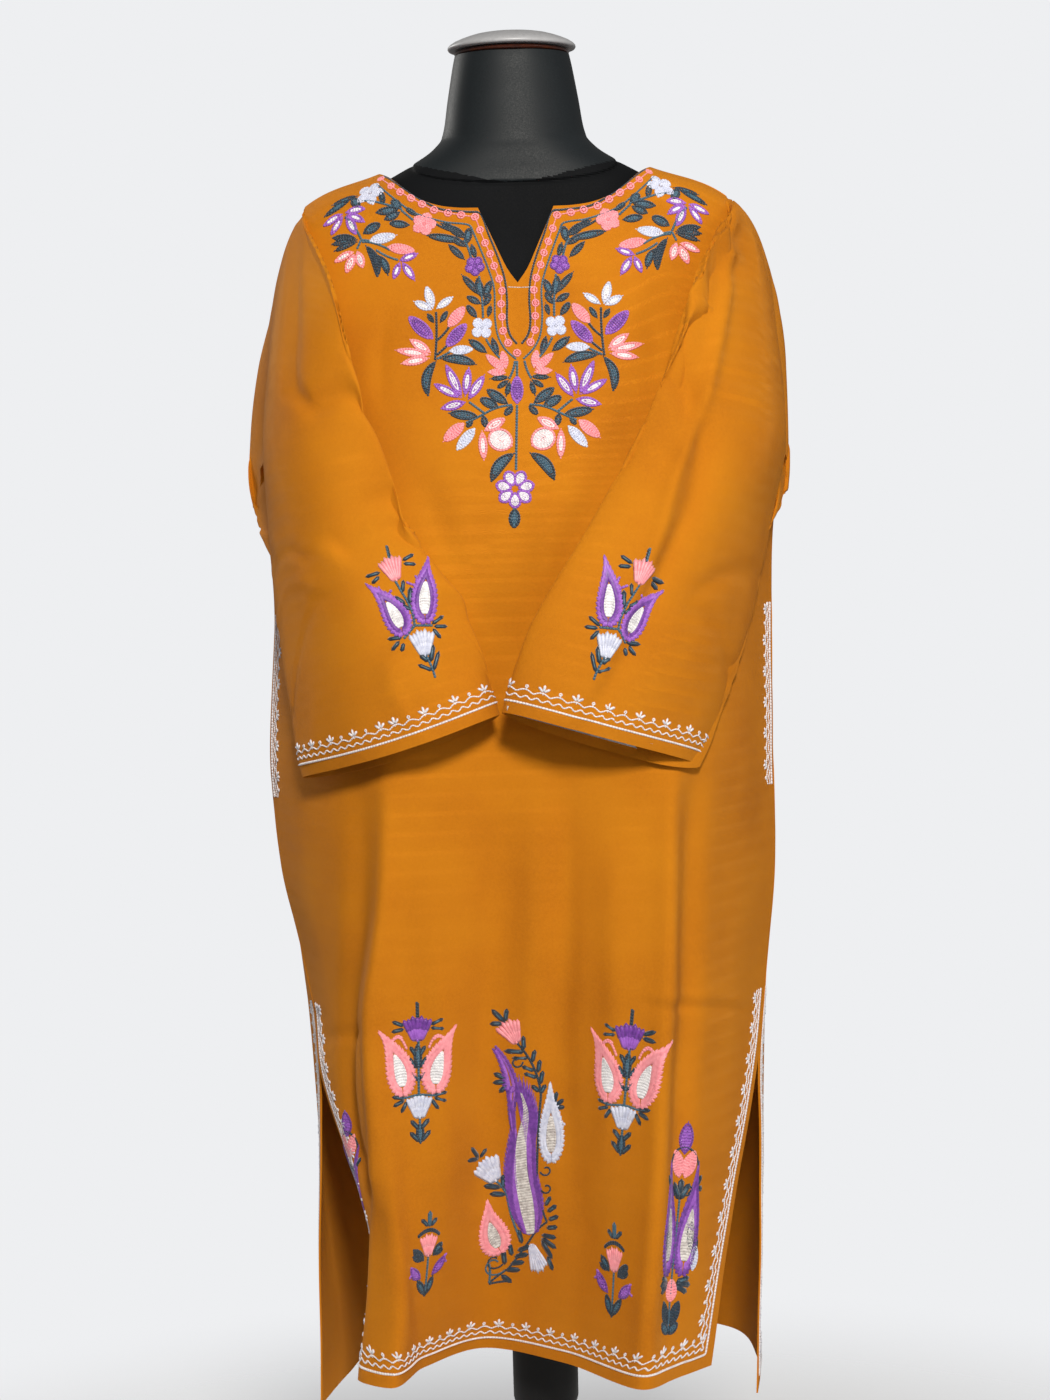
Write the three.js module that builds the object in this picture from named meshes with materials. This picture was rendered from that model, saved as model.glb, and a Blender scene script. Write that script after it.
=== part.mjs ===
// A mustard wool pheran worn by a limbless dress form.
// Millimetres. +Z is up, the front of the garment looks along -Y, left in a name means the side of -X.
import * as THREE from "three";

// Driving sizes
const clothWall = 1.6;
const seamGap = 0.3;
const underarmHeight = 1104;
const armholeTop = 1371;
const armholeOutTop = 188;
const slitTop = 650;
const frontHem = 344;
const backHem = 304;
const shoulderRoll = 35;
const neckSide = 122;
const chestRoundness = 2.2;
const sleeveClearance = 6;
const neckTop = 1499;
const seamRise = 3;
const armholeGap = 0.8;
const pocketLow = 855;
const pocketHigh = 995;
const pocketGape = 2.8;
const pocketWall = 1.2;

// Heights of the shoulder line above the floor, out from the middle
const shoulderLine = [
  { out: 0, z: 1436 },
  { out: 70, z: 1420 },
  { out: 122, z: 1398 },
  { out: 165, z: 1384 },
  { out: 188, z: 1371 },
  { out: 250, z: 1320 },
];

// Rings of the chest, from the shoulder down to the underarm
const chest = [
  { z: 1436, halfFront: 205, front: 62, halfBack: 208, back: 62 },
  { z: 1385, halfFront: 205, front: 62, halfBack: 208, back: 68 },
  { z: 1361, halfFront: 206, front: 66, halfBack: 214, back: 82 },
  { z: 1330, halfFront: 209, front: 77, halfBack: 226, back: 94 },
  { z: 1295, halfFront: 210, front: 88, halfBack: 246, back: 103 },
  { z: 1235, halfFront: 216, front: 105, halfBack: 276, back: 112 },
  { z: 1168, halfFront: 228, front: 125, halfBack: 292, back: 120 },
  { z: 1104, halfFront: 252, front: 138, halfBack: 268, back: 128 },
];

// The armhole: how far out its front and back edges lie
const armhole = [
  { z: 1371, frontLeft: 188, frontRight: 188, backLeft: 188, backRight: 188 },
  { z: 1345, frontLeft: 186, frontRight: 187, backLeft: 199, backRight: 204 },
  { z: 1312, frontLeft: 186, frontRight: 186, backLeft: 214, backRight: 223 },
  { z: 1278, frontLeft: 189, frontRight: 189, backLeft: 226, backRight: 236 },
  { z: 1229, frontLeft: 197, frontRight: 196, backLeft: 240, backRight: 244 },
  { z: 1168, frontLeft: 216, frontRight: 207, backLeft: 249, backRight: 242 },
  { z: 1104, frontLeft: 247, frontRight: 233, backLeft: 247, backRight: 233 },
];

// Side seam from the underarm to the top of the slit
const sideSeam = [
  { z: 1104, left: -247, leftY: 44, right: 233, rightY: 38 },
  { z: 1092, left: -237, leftY: 31, right: 229, rightY: 28 },
  { z: 1060, left: -230, leftY: 13, right: 225, rightY: 13 },
  { z: 1000, left: -228, leftY: 0, right: 222, rightY: 0 },
  { z: 880, left: -235, leftY: 0, right: 221, rightY: 0 },
  { z: 780, left: -229, leftY: 0, right: 221, rightY: 0 },
  { z: 700, left: -211, leftY: -8, right: 214, rightY: 0 },
  { z: 650, left: -200, leftY: -24, right: 208, rightY: -12 },
];

// Free edges of the slits, below the side seam
const frontEdge = [
  { z: 650, left: -200, leftY: -24, right: 208, rightY: -12 },
  { z: 600, left: -196, leftY: -46, right: 200, rightY: -34 },
  { z: 530, left: -172, leftY: -84, right: 184, rightY: -64 },
  { z: 440, left: -141, leftY: -108, right: 164, rightY: -97 },
  { z: 344, left: -149, leftY: -116, right: 146, rightY: -127 },
];
const backEdge = [
  { z: 650, left: -200, leftY: -24, right: 208, rightY: -12 },
  { z: 600, left: -197, leftY: -36, right: 202, rightY: -26 },
  { z: 530, left: -198, leftY: -44, right: 200, rightY: -40 },
  { z: 440, left: -201, leftY: -60, right: 197, rightY: -58 },
  { z: 304, left: -202, leftY: -85, right: 189, rightY: -85 },
];

// Rows with named columns, from a list of names and lists of values
const rowOf = (names, row) => Object.fromEntries(row.map((value, i) => [names[i], value]));
const tableOf = (names, rows) => rows.map((row) => rowOf(names, row));

// Folds of the front panel: for each height, points [x, y] from left to right between its edges
const frontFolds = tableOf(
  ["z", "sideLeft", "noseLeft", "wallLeft", "valley", "wallRight", "noseRight", "sideRight"],
  [
    [1104, [-212, -24], [-148, -108], [-76, -135], [0, -139], [76, -135], [146, -108], [203, -28]],
    [1060, [-206, -50], [-136, -124], [-70, -142], [0, -140], [66, -142], [135, -124], [200, -52]],
    [1000, [-195, -80], [-122, -139], [-70, -144], [0, -140], [60, -144], [122, -139], [186, -80]],
    [880, [-198, -80], [-124, -146], [-78, -145], [-5, -138], [48, -143], [120, -148], [182, -80]],
    [780, [-193, -82], [-128, -151], [-82, -147], [-10, -135], [46, -143], [115, -155], [176, -84]],
    [700, [-183, -88], [-135, -154], [-86, -145], [-15, -130], [44, -141], [110, -160], [170, -90]],
    [650, [-177, -94], [-138, -155], [-88, -143], [-20, -124], [42, -139], [107, -162], [166, -96]],
    [600, [-172, -103], [-138, -156], [-88, -140], [-25, -118], [40, -135], [104, -165], [160, -104]],
    [530, [-158, -124], [-132, -160], [-90, -138], [-30, -104], [35, -128], [100, -170], [149, -120]],
    [440, [-152, -140], [-124, -162], [-92, -128], [-40, -86], [28, -120], [94, -177], [134, -140]],
    [344, [-165, -140], [-132, -168], [-106, -112], [-56, -60], [15, -108], [84, -189], [120, -154]],
  ],
);

// Folds of the back panel, in the same way
const backFolds = tableOf(
  ["z", "flankLeft", "cornerLeft", "ridgeLeft", "hollow", "ridgeRight", "cornerRight", "flankRight"],
  [
    [1104, [-234, 76], [-198, 103], [-105, 126], [0, 128], [105, 126], [195, 101], [225, 72]],
    [1060, [-224, 62], [-184, 108], [-98, 129], [0, 127], [98, 129], [180, 108], [219, 62]],
    [1000, [-222, 55], [-178, 110], [-95, 131], [0, 126], [95, 131], [175, 110], [216, 55]],
    [880, [-226, 58], [-180, 113], [-95, 135], [0, 126], [98, 135], [178, 113], [214, 56]],
    [780, [-223, 60], [-182, 118], [-98, 139], [0, 125], [100, 139], [178, 117], [215, 58]],
    [700, [-215, 52], [-182, 120], [-100, 143], [0, 124], [102, 143], [180, 118], [214, 55]],
    [600, [-207, 42], [-179, 120], [-99, 146], [0, 121], [102, 147], [183, 117], [210, 47]],
    [440, [-197, 15], [-170, 112], [-96, 151], [0, 117], [102, 152], [186, 114], [203, 30]],
    [304, [-184, 0], [-160, 88], [-95, 152], [0, 112], [100, 154], [181, 112], [199, 20]],
  ],
);

// Columns of the panels, out from the middle: where each starts at the top,
// and its share of the width lower down
const frontColumns = [
  { out: 0, top: 1294, share: 0 },
  { out: 9, top: 1307, share: 0.045 },
  { out: 19, top: 1329, share: 0.09 },
  { out: 33, top: 1361, share: 0.14 },
  { out: 50, top: 1361.5, share: 0.21 },
  { out: 67, top: 1364, share: 0.28 },
  { out: 83, top: 1370, share: 0.35 },
  { out: 97, top: 1380, share: 0.42 },
  { out: 110, top: 1391, share: 0.49 },
  { out: 122, top: 1398, share: 0.56 },
  { out: 133, top: null, share: 0.64 },
  { out: 145, top: null, share: 0.72 },
  { out: 157, top: null, share: 0.8 },
  { out: 173, top: null, share: 0.9 },
  { out: 188, top: null, share: 1 },
];
const backColumns = [
  { out: 0, top: 1384, share: 0 },
  { out: 35, top: 1384.5, share: 0.15 },
  { out: 70, top: 1387, share: 0.3 },
  { out: 100, top: 1392, share: 0.44 },
  { out: 122, top: 1398, share: 0.56 },
  { out: 140, top: null, share: 0.68 },
  { out: 157, top: null, share: 0.8 },
  { out: 173, top: null, share: 0.9 },
  { out: 188, top: null, share: 1 },
];
const upperSteps = [0, 0.01, 0.04, 0.09, 0.16, 0.25, 0.36, 0.48, 0.61, 0.75, 0.88, 1];
const lowerHeights = [
  1092, 1060, 1030, 995, 983, 925, 867, 855, 800, 750, 700, 650, 625, 600, 565, 530, 485, 440, 392,
];

// Sections of the sleeves: where the top line, front edge, underside and back edge lie
const leftSleeve = [
  { top: [-197, -32, 1335], front: [-158, -108, 1232], under: [-234, 7, 1102], back: [-232, 34, 1203] },
  { top: [-207, -102, 1170], front: [-126, -134, 1168], under: [-208, -74, 1064], back: [-230, 0, 1122] },
  { top: [-183, -136, 1082], front: [-95, -148, 1092], under: [-168, -112, 1036], back: [-225, -34, 1050] },
  { top: [-156, -162, 1016], front: [-62, -158, 1032], under: [-134, -138, 996], back: [-217, -60, 986] },
  { top: [-138, -176, 962], front: [-40, -163, 984], under: [-122, -146, 944], back: [-209, -84, 932] },
  { top: [-121, -184, 917], front: [-27, -166, 944], under: [-115, -150, 906], back: [-202, -101, 884] },
  { top: [-112, -185, 898], front: [-24, -166, 926], under: [-112, -150, 889], back: [-199, -103, 870] },
];
const rightSleeve = [
  { top: [204, -30, 1340], front: [150, -112, 1244], under: [225, 4, 1100], back: [236, 34, 1213] },
  { top: [202, -106, 1166], front: [102, -143, 1168], under: [190, -80, 1068], back: [235, 4, 1136] },
  { top: [165, -144, 1090], front: [60, -164, 1096], under: [150, -120, 1046], back: [219, -24, 1073] },
  { top: [126, -172, 1020], front: [24, -180, 1040], under: [108, -146, 1002], back: [199, -66, 1000] },
  { top: [101, -188, 966], front: [-2, -186, 992], under: [90, -150, 948], back: [176, -96, 942] },
  { top: [76, -196, 922], front: [-18, -187, 946], under: [72, -151, 906], back: [155, -120, 893] },
  { top: [66, -196, 906], front: [-22, -186, 929], under: [66, -151, 892], back: [145, -130, 875] },
];
// Sections of a pocket bag: how far in from the seam, how far toward the front,
// its lowest and highest height, half its thickness
const pocketBag = [
  { into: 4.6, toward: 0, low: 861, high: 989, half: 6 },
  { into: 11, toward: -1, low: 857, high: 991, half: 6.5 },
  { into: 21, toward: -10, low: 840, high: 992, half: 6.5 },
  { into: 30, toward: -27, low: 822, high: 992, half: 6.5 },
  { into: 35, toward: -44, low: 806, high: 988, half: 6 },
  { into: 41, toward: -60, low: 800, high: 976, half: 4 },
];
const sleeveSteps = [0, 0.045, 0.1, 0.16, 0.22, 0.29, 0.36, 0.43, 0.5, 0.58, 0.66, 0.75, 0.84, 0.92, 1];

// Rings of the dress form
const formRings = [
  { z: 690, half: 118, front: 70, back: 78 },
  { z: 692, half: 136, front: 82, back: 92 },
  { z: 702, half: 149, front: 92, back: 102 },
  { z: 760, half: 158, front: 99, back: 110 },
  { z: 850, half: 159, front: 100, back: 111 },
  { z: 940, half: 141, front: 93, back: 92 },
  { z: 1010, half: 128, front: 88, back: 80 },
  { z: 1090, half: 142, front: 103, back: 88 },
  { z: 1168, half: 157, front: 112, back: 100 },
  { z: 1235, half: 163, front: 100, back: 104 },
  { z: 1295, half: 164, front: 83.5, back: 97 },
  { z: 1330, half: 160, front: 72, back: 87 },
  { z: 1361, half: 151, front: 61, back: 74 },
  { z: 1380, half: 133, front: 57, back: 62 },
  { z: 1392, half: 114, front: 55, back: 57 },
  { z: 1404, half: 92, front: 55, back: 55 },
  { z: 1413, half: 77, front: 55, back: 54 },
  { z: 1420, half: 69, front: 55, back: 53 },
  { z: 1427, half: 64, front: 54, back: 53 },
  { z: 1462, half: 58, front: 51, back: 51 },
  { z: 1490, half: 53, front: 49, back: 49 },
  { z: 1499, half: 51, front: 47, back: 47 },
];

// A smooth curve through a table, read at one place
function follow(places, values, at) {
  const last = places.length - 1;
  const rising = places[last] > places[0];
  let i = 0;
  while (i < last - 1 && (rising ? at > places[i + 1] : at < places[i + 1])) i += 1;
  const slope = (k) => {
    const a = Math.max(k - 1, 0);
    const b = Math.min(k + 1, last);
    return (values[b] - values[a]) / (places[b] - places[a]);
  };
  const span = places[i + 1] - places[i];
  const t = Math.min(Math.max((at - places[i]) / span, 0), 1);
  const tt = t * t;
  const ttt = tt * t;
  return (
    (2 * ttt - 3 * tt + 1) * values[i] +
    (ttt - 2 * tt + t) * span * slope(i) +
    (3 * tt - 2 * ttt) * values[i + 1] +
    (ttt - tt) * span * slope(i + 1)
  );
}
const read = (table, name, z, axis) =>
  follow(
    table.map((row) => row.z),
    table.map((row) => (axis === undefined ? row[name] : row[name][axis])),
    z,
  );
const mix = (a, b, t) => a + (b - a) * t;
const ease = (t) => {
  const k = Math.min(Math.max(t, 0), 1);
  return k * k * (3 - 2 * k);
};

// Height of the shoulder line so far out
const shoulderAt = (out) =>
  follow(
    shoulderLine.map((row) => row.out),
    shoulderLine.map((row) => row.z),
    Math.abs(out),
  );

// How far the cloth stands in front of the middle plane on the chest, or behind it on the back
function chestY(x, z, isFront) {
  const half = read(chest, isFront ? "halfFront" : "halfBack", z);
  const deep = read(chest, isFront ? "front" : "back", z);
  const share = Math.min(Math.abs(x) / half, 1);
  const round = Math.pow(1 - Math.pow(share, chestRoundness), 1 / chestRoundness);
  const drop = Math.min(Math.max((shoulderAt(x) - z) / shoulderRoll, 0), 1);
  const roll = Math.sqrt(1 - (1 - drop) * (1 - drop));
  return (isFront ? -1 : 1) * deep * round * roll;
}

// Line of a panel across at one height
const foldNames = (table) => Object.keys(table[0]).filter((name) => name !== "z");
function edgeAt(z, isFront) {
  const table = z >= slitTop ? sideSeam : isFront ? frontEdge : backEdge;
  const mouth = ease((z - pocketLow) / 12) * ease((pocketHigh - z) / 12);
  const corner = ease((z - 1040) / 30);
  const shift = (isFront ? -1 : 1) * (seamGap / 2 + pocketGape * mouth + 0.35 * corner);
  return [
    [read(table, "left", z), read(table, "leftY", z) + shift],
    [read(table, "right", z), read(table, "rightY", z) + shift],
  ];
}
function lineAcross(z, isFront) {
  const folds = isFront ? frontFolds : backFolds;
  const names = foldNames(folds);
  const [left, right] = edgeAt(z, isFront);
  const inner = names.map((name) => [read(folds, name, z, 0), read(folds, name, z, 1)]);
  const ends = [left, ...inner, right];
  const curve = new THREE.CatmullRomCurve3(
    ends.map(([x, y]) => new THREE.Vector3(x, y, 0)),
    false,
    "centripetal",
  );
  return { curve, fine: curve.getPoints(160) };
}
const kept = new Map();
function across(z, isFront) {
  const key = z.toFixed(3) + isFront;
  if (!kept.has(key)) kept.set(key, lineAcross(z, isFront));
  return kept.get(key);
}
function lowerPoint(share, z, isFront) {
  const point = across(z, isFront).curve.getPoint((share + 1) / 2);
  return new THREE.Vector3(point.x, point.y, z);
}
function lowerY(x, z, isFront) {
  const { fine } = across(z, isFront);
  let i = 1;
  while (i < fine.length - 1 && fine[i].x < x) i += 1;
  const t = Math.min(Math.max((x - fine[i - 1].x) / (fine[i].x - fine[i - 1].x), 0), 1);
  return mix(fine[i - 1].y, fine[i].y, t);
}

// A point above the underarm: side is -1 or 1, step runs from the top edge to the underarm
function upperPoint(column, side, step, isFront) {
  const armName = (isFront ? "front" : "back") + (side < 0 ? "Left" : "Right");
  const top = column.top === null ? shoulderAt(column.out) : column.top;
  const z = mix(top, underarmHeight, step);
  const base = lowerPoint(side * column.share, underarmHeight, isFront);
  const armHeight = mix(armholeTop, underarmHeight, step);
  const armOut = read(armhole, armName, armHeight);
  const straight = mix(armholeOutTop, Math.abs(lowerPoint(side, underarmHeight, isFront).x), step);
  const bow = (armOut - straight) * Math.pow(column.share, 2);
  const x = side * (mix(column.out, Math.abs(base.x), step) + bow);
  const low = base.y - chestY(base.x, underarmHeight, isFront);
  const y = chestY(x, z, isFront) + low * Math.pow(step, 3);
  const onShoulder = column.out >= neckSide;
  const gap = onShoulder && step === 0 ? ((isFront ? -1 : 1) * seamGap) / 2 : 0;
  return new THREE.Vector3(x, y + gap, z);
}

// The grid of points of one panel: rows from the top to the hem, columns from left to right
function panelGrid(isFront) {
  const half = isFront ? frontColumns : backColumns;
  const columns = [
    ...half.slice(1).reverse().map((column) => ({ column, side: -1 })),
    ...half.map((column) => ({ column, side: 1 })),
  ];
  const heights = [...lowerHeights, isFront ? frontHem : 350];
  if (!isFront) heights.push(backHem);
  const rowAbove = (step) => columns.map((c) => upperPoint(c.column, c.side, step, isFront));
  const rowBelow = (z) => columns.map((c) => lowerPoint(c.side * c.column.share, z, isFront));
  const rows = [...upperSteps.map(rowAbove), ...heights.map(rowBelow)];
  return { rows, columns, heights };
}

// Outward direction at each point of a grid
function outward(rows, closed) {
  const count = rows[0].length;
  return rows.map((row, r) =>
    row.map((point, c) => {
      const above = rows[Math.max(r - 1, 0)][c];
      const below = rows[Math.min(r + 1, rows.length - 1)][c];
      const before = closed ? row[(c + count - 1) % count] : row[Math.max(c - 1, 0)];
      const after = closed ? row[(c + 1) % count] : row[Math.min(c + 1, count - 1)];
      return new THREE.Vector3()
        .crossVectors(after.clone().sub(before), above.clone().sub(below))
        .normalize();
    }),
  );
}

// The same grid, a cloth's thickness further in
function movedIn(rows, out) {
  return rows.map((row, r) => row.map((p, c) => p.clone().addScaledVector(out[r][c], -clothWall)));
}

// A closed wall between a grid and the same grid moved in, with its rims
function wallBetween(name, outer, inner, closed, capEnd) {
  const count = outer[0].length;
  const points = [];
  const faces = [];
  const base = outer.length * count;
  outer.forEach((row) => row.forEach((p) => points.push(p.x, p.y, p.z)));
  inner.forEach((row) => row.forEach((p) => points.push(p.x, p.y, p.z)));
  const at = (r, c, isInner) => (isInner ? base : 0) + r * count + (c % count);
  const steps = closed ? count : count - 1;
  const quad = (a, b, c, d) => {
    faces.push(a, b, c, a, c, d);
  };
  for (let r = 0; r < outer.length - 1; r += 1)
    for (let c = 0; c < steps; c += 1) {
      quad(at(r, c, false), at(r + 1, c, false), at(r + 1, c + 1, false), at(r, c + 1, false));
      quad(at(r, c, true), at(r, c + 1, true), at(r + 1, c + 1, true), at(r + 1, c, true));
    }
  const last = outer.length - 1;
  for (let c = 0; c < steps; c += 1) {
    quad(at(0, c, false), at(0, c + 1, false), at(0, c + 1, true), at(0, c, true));
    if (!capEnd) quad(at(last, c + 1, false), at(last, c, false), at(last, c, true), at(last, c + 1, true));
  }
  if (!closed)
    for (let r = 0; r < last; r += 1) {
      quad(at(r + 1, 0, false), at(r, 0, false), at(r, 0, true), at(r + 1, 0, true));
      const e = count - 1;
      quad(at(r, e, false), at(r + 1, e, false), at(r + 1, e, true), at(r, e, true));
    }
  if (capEnd)
    [false, true].forEach((isInner) => {
      const row = (isInner ? inner : outer)[last];
      const middle = row.reduce((sum, p) => sum.add(p), new THREE.Vector3()).divideScalar(row.length);
      const hub = points.length / 3;
      points.push(middle.x, middle.y, middle.z);
      for (let c = 0; c < count; c += 1)
        if (isInner) faces.push(at(last, c, true), at(last, c + 1, true), hub);
        else faces.push(at(last, c + 1, false), at(last, c, false), hub);
    });
  return meshOf(name, points, faces);
}
function meshOf(name, points, faces) {
  const geometry = new THREE.BufferGeometry();
  geometry.setAttribute("position", new THREE.Float32BufferAttribute(points, 3));
  geometry.setIndex(faces);
  const made = new THREE.Mesh(geometry);
  made.name = name;
  return made;
}

// How far round the armhole each point of one of its edges lies:
// 0 at the shoulder, half a turn at the underarm
function turnsAlong(points) {
  const along = [0];
  for (let i = 1; i < points.length; i += 1) {
    along.push(along[i - 1] + points[i].distanceTo(points[i - 1]));
  }
  return along.map((a) => (Math.PI * a) / along[along.length - 1]);
}
const squareTo = (turn) => new THREE.Vector3(0, -Math.sin(turn), Math.cos(turn));

// Front and back panels
function panel(name, isFront) {
  const { rows, columns } = panelGrid(isFront);
  const out = outward(rows, false);
  if (!isFront) out.forEach((row) => row.forEach((d) => d.negate()));
  const last = columns.length - 1;
  const corner = upperSteps.length - 1;
  const turns = [0, last].map((c) => turnsAlong(rows.slice(0, corner + 1).map((row) => row[c])));
  rows.forEach((row, r) => {
    [0, last].forEach((c) => {
      const side = c === 0 ? -1 : 1;
      const p = row[c];
      const turn = turns[c === 0 ? 0 : 1][Math.min(r, corner)];
      if (r < corner) out[r][c] = squareTo(isFront ? turn : -turn);
      else if (r === corner) out[r][c].set(side * 0.7, 0, -0.7);
      else if (p.z >= slitTop) out[r][c].set(side, 0, 0);
    });
    if (r === 0)
      columns.forEach((c, i) => {
        if (c.column.out >= neckSide) out[r][i].set(0, 0, 1);
      });
  });
  const inner = movedIn(rows, out);
  const turned = isFront ? rows : rows.map((row) => [...row].reverse());
  const turnedIn = isFront ? inner : inner.map((row) => [...row].reverse());
  return wallBetween(name, turned, turnedIn, false, false);
}

// Depth of the front panel anywhere a sleeve lies over it
function frontY(x, z) {
  if (z < underarmHeight) return lowerY(x, z, true);
  const name = x < 0 ? "frontLeft" : "frontRight";
  const wider = read(armhole, name, underarmHeight) / read(armhole, name, z);
  const low = lowerY(x * wider, underarmHeight, true) - chestY(x * wider, underarmHeight, true);
  const step = Math.max((armholeTop - z) / (armholeTop - underarmHeight), 0);
  return chestY(x, z, true) + low * Math.pow(step, 3);
}

// One sleeve, from the armhole to the cuff
function sleeve(name, side, sections) {
  const half = frontColumns[frontColumns.length - 1];
  const halfBack = backColumns[backColumns.length - 1];
  const frontArm = upperSteps.map((step) => upperPoint(half, side, step, true));
  const backArm = upperSteps.map((step) => upperPoint(halfBack, side, step, false));
  const ring = [...frontArm, ...backArm.slice(1, -1).reverse()];
  ring[0].y = 0;
  ring[upperSteps.length - 1].y = (frontArm[upperSteps.length - 1].y + backArm[upperSteps.length - 1].y) / 2;
  const turn = [
    ...turnsAlong(frontArm),
    ...turnsAlong(backArm).map((a) => 2 * Math.PI - a).slice(1, -1).reverse(),
  ];
  const sectionPoint = (section, angle, axis) => {
    const top = section.top[axis];
    const front = section.front[axis];
    const under = section.under[axis];
    const back = section.back[axis];
    return (
      (top + front + under + back) / 4 +
      ((front - back) / 2) * Math.sin(angle) +
      ((top - under) / 2) * Math.cos(angle) +
      ((top + under - front - back) / 4) * Math.cos(2 * angle)
    );
  };
  const places = [0, 0.2, 0.45, 0.6, 0.74, 0.86, 0.965, 1];
  const rows = sleeveSteps.map((step) =>
    ring.map((edge, c) => {
      const p = [0, 1, 2].map((axis) =>
        follow(
          places,
          [edge.getComponent(axis), ...sections.map((section) => sectionPoint(section, turn[c], axis))],
          step,
        ),
      );
      if (step === 0) return edge.clone().setX(edge.x + side * armholeGap);
      const degrees = (turn[c] * 180) / Math.PI;
      const fade = mix(225, 330, ease((step - 0.2) / 0.2));
      const upper = ease((degrees - 20) / 30) * ease((fade - degrees) / 30);
      const weight = mix(upper, 1, ease((step - 0.45) / 0.15));
      const start = ease(step / 0.04) * (1 - ease((step - 0.08) / 0.14));
      const lower = ease(turn[c] / 0.9) * ease((2 * Math.PI - turn[c]) / 0.9);
      p[0] += side * seamRise * start * lower;
      const limit = frontY(p[0], p[2]) - mix(seamRise, sleeveClearance, ease(step / 0.1));
      if (p[1] > limit) p[1] = mix(p[1], limit, weight);
      return new THREE.Vector3(...p);
    }),
  );
  if (side > 0) {
    rows.forEach((row) => row.reverse());
    turn.reverse();
  }
  const out = outward(rows, true);
  out[0] = turn.map(squareTo);
  return wallBetween(name, rows, movedIn(rows, out), true, false);
}

// One pocket bag, from the mouth in the side seam to its closed end
function pocket(name, side) {
  const count = 20;
  const squarer = (v) => Math.sign(v) * Math.pow(Math.abs(v), 0.7);
  const seam = (z) => {
    const key = side < 0 ? "left" : "right";
    return [read(sideSeam, key, z), read(sideSeam, key + "Y", z)];
  };
  const middle = (row, z) => [seam(z)[0] - side * row.into, seam(z)[1] + row.toward];
  const ring = (row, r, half, low, high) => {
    const before = pocketBag[Math.max(r - 1, 0)];
    const after = pocketBag[Math.min(r + 1, pocketBag.length - 1)];
    const run = new THREE.Vector2(after.into - before.into, after.toward - before.toward);
    run.normalize();
    if (r === 0) run.set(1, 0);
    const points = [];
    for (let i = 0; i < count; i += 1) {
      const a = (i / count) * 2 * Math.PI;
      const z = (low + high) / 2 + ((high - low) / 2) * squarer(Math.cos(a));
      const thick = half * squarer(Math.sin(a));
      const [x, y] = middle(row, z);
      points.push(new THREE.Vector3(x + side * run.y * thick, y + run.x * thick, z));
    }
    return side < 0 ? points : points.reverse();
  };
  const outer = pocketBag.map((row, r) => ring(row, r, row.half, row.low, row.high));
  const inner = pocketBag.map((row, r) => {
    const last = r === pocketBag.length - 1;
    const moved = last
      ? { ...row, into: row.into - 0.6 * pocketWall, toward: row.toward + pocketWall }
      : row;
    return ring(moved, r, row.half - pocketWall, row.low + pocketWall, row.high - pocketWall);
  });
  return wallBetween(name, outer, inner, true, true);
}

// A ring shaped like a rounded rectangle
function formRing(ring, count) {
  const points = [];
  for (let i = 0; i < count; i += 1) {
    const a = (i / count) * 2 * Math.PI;
    const cosine = Math.cos(a);
    const sine = Math.sin(a);
    const round = (v) => Math.sign(v) * Math.pow(Math.abs(v), 2 / chestRoundness);
    const deep = sine < 0 ? ring.front : ring.back;
    points.push(new THREE.Vector3(ring.half * round(cosine), deep * round(sine), ring.z));
  }
  return points;
}
function solidOfRings(name, rings) {
  const count = rings[0].length;
  const points = [];
  const faces = [];
  rings.forEach((ring) => ring.forEach((p) => points.push(p.x, p.y, p.z)));
  for (let r = 0; r < rings.length - 1; r += 1)
    for (let c = 0; c < count; c += 1) {
      const a = r * count + c;
      const b = r * count + ((c + 1) % count);
      faces.push(a, b, b + count, a, b + count, a + count);
    }
  const lastRow = (rings.length - 1) * count;
  for (let c = 1; c < count - 1; c += 1) {
    faces.push(0, c + 1, c);
    faces.push(lastRow, lastRow + c, lastRow + c + 1);
  }
  return meshOf(name, points, faces);
}
function turnedSolid(name, profile, count) {
  const rings = profile.map(([radius, z]) => {
    const points = [];
    for (let i = 0; i < count; i += 1) {
      const a = (i / count) * 2 * Math.PI;
      points.push(new THREE.Vector3(radius * Math.cos(a), radius * Math.sin(a), z));
    }
    return points;
  });
  return solidOfRings(name, rings);
}

// Profiles of what stands on and under the form: radius, height
const discProfile = [
  [49, neckTop + 0.3],
  [51, neckTop + 1.5],
  [51, neckTop + 3.5],
  [49, neckTop + 4.7],
];
const capProfile = [
  [55.5, neckTop + 5],
  [57, neckTop + 6],
  [57, neckTop + 8],
  [54, neckTop + 11],
  [45, neckTop + 15.5],
  [30, neckTop + 18.5],
  [16, neckTop + 19.5],
];
const postProfile = [
  [24, 272],
  [28, 274],
  [30, 279],
  [30, 689.7],
];
const poleProfile = [
  [12.5, 18.3],
  [12.5, 271.7],
];
const baseProfile = [
  [168, 0],
  [170, 2],
  [170, 8],
  [150, 12],
  [60, 16.8],
  [30, 18],
];

const pheran = new THREE.Group();
pheran.add(panel("front", true));
pheran.add(panel("back", false));
pheran.add(sleeve("sleeve_left", -1, leftSleeve));
pheran.add(sleeve("sleeve_right", 1, rightSleeve));
pheran.add(pocket("pocket_left", -1));
pheran.add(pocket("pocket_right", 1));
pheran.add(
  solidOfRings(
    "form_body",
    formRings.map((ring) => formRing(ring, 32)),
  ),
);
pheran.add(turnedSolid("neck_disc", discProfile, 32));
pheran.add(turnedSolid("neck_cap", capProfile, 32));
pheran.add(turnedSolid("post", postProfile, 24));
pheran.add(turnedSolid("pole", poleProfile, 20));
pheran.add(turnedSolid("base", baseProfile, 48));

export default pheran;
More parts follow.
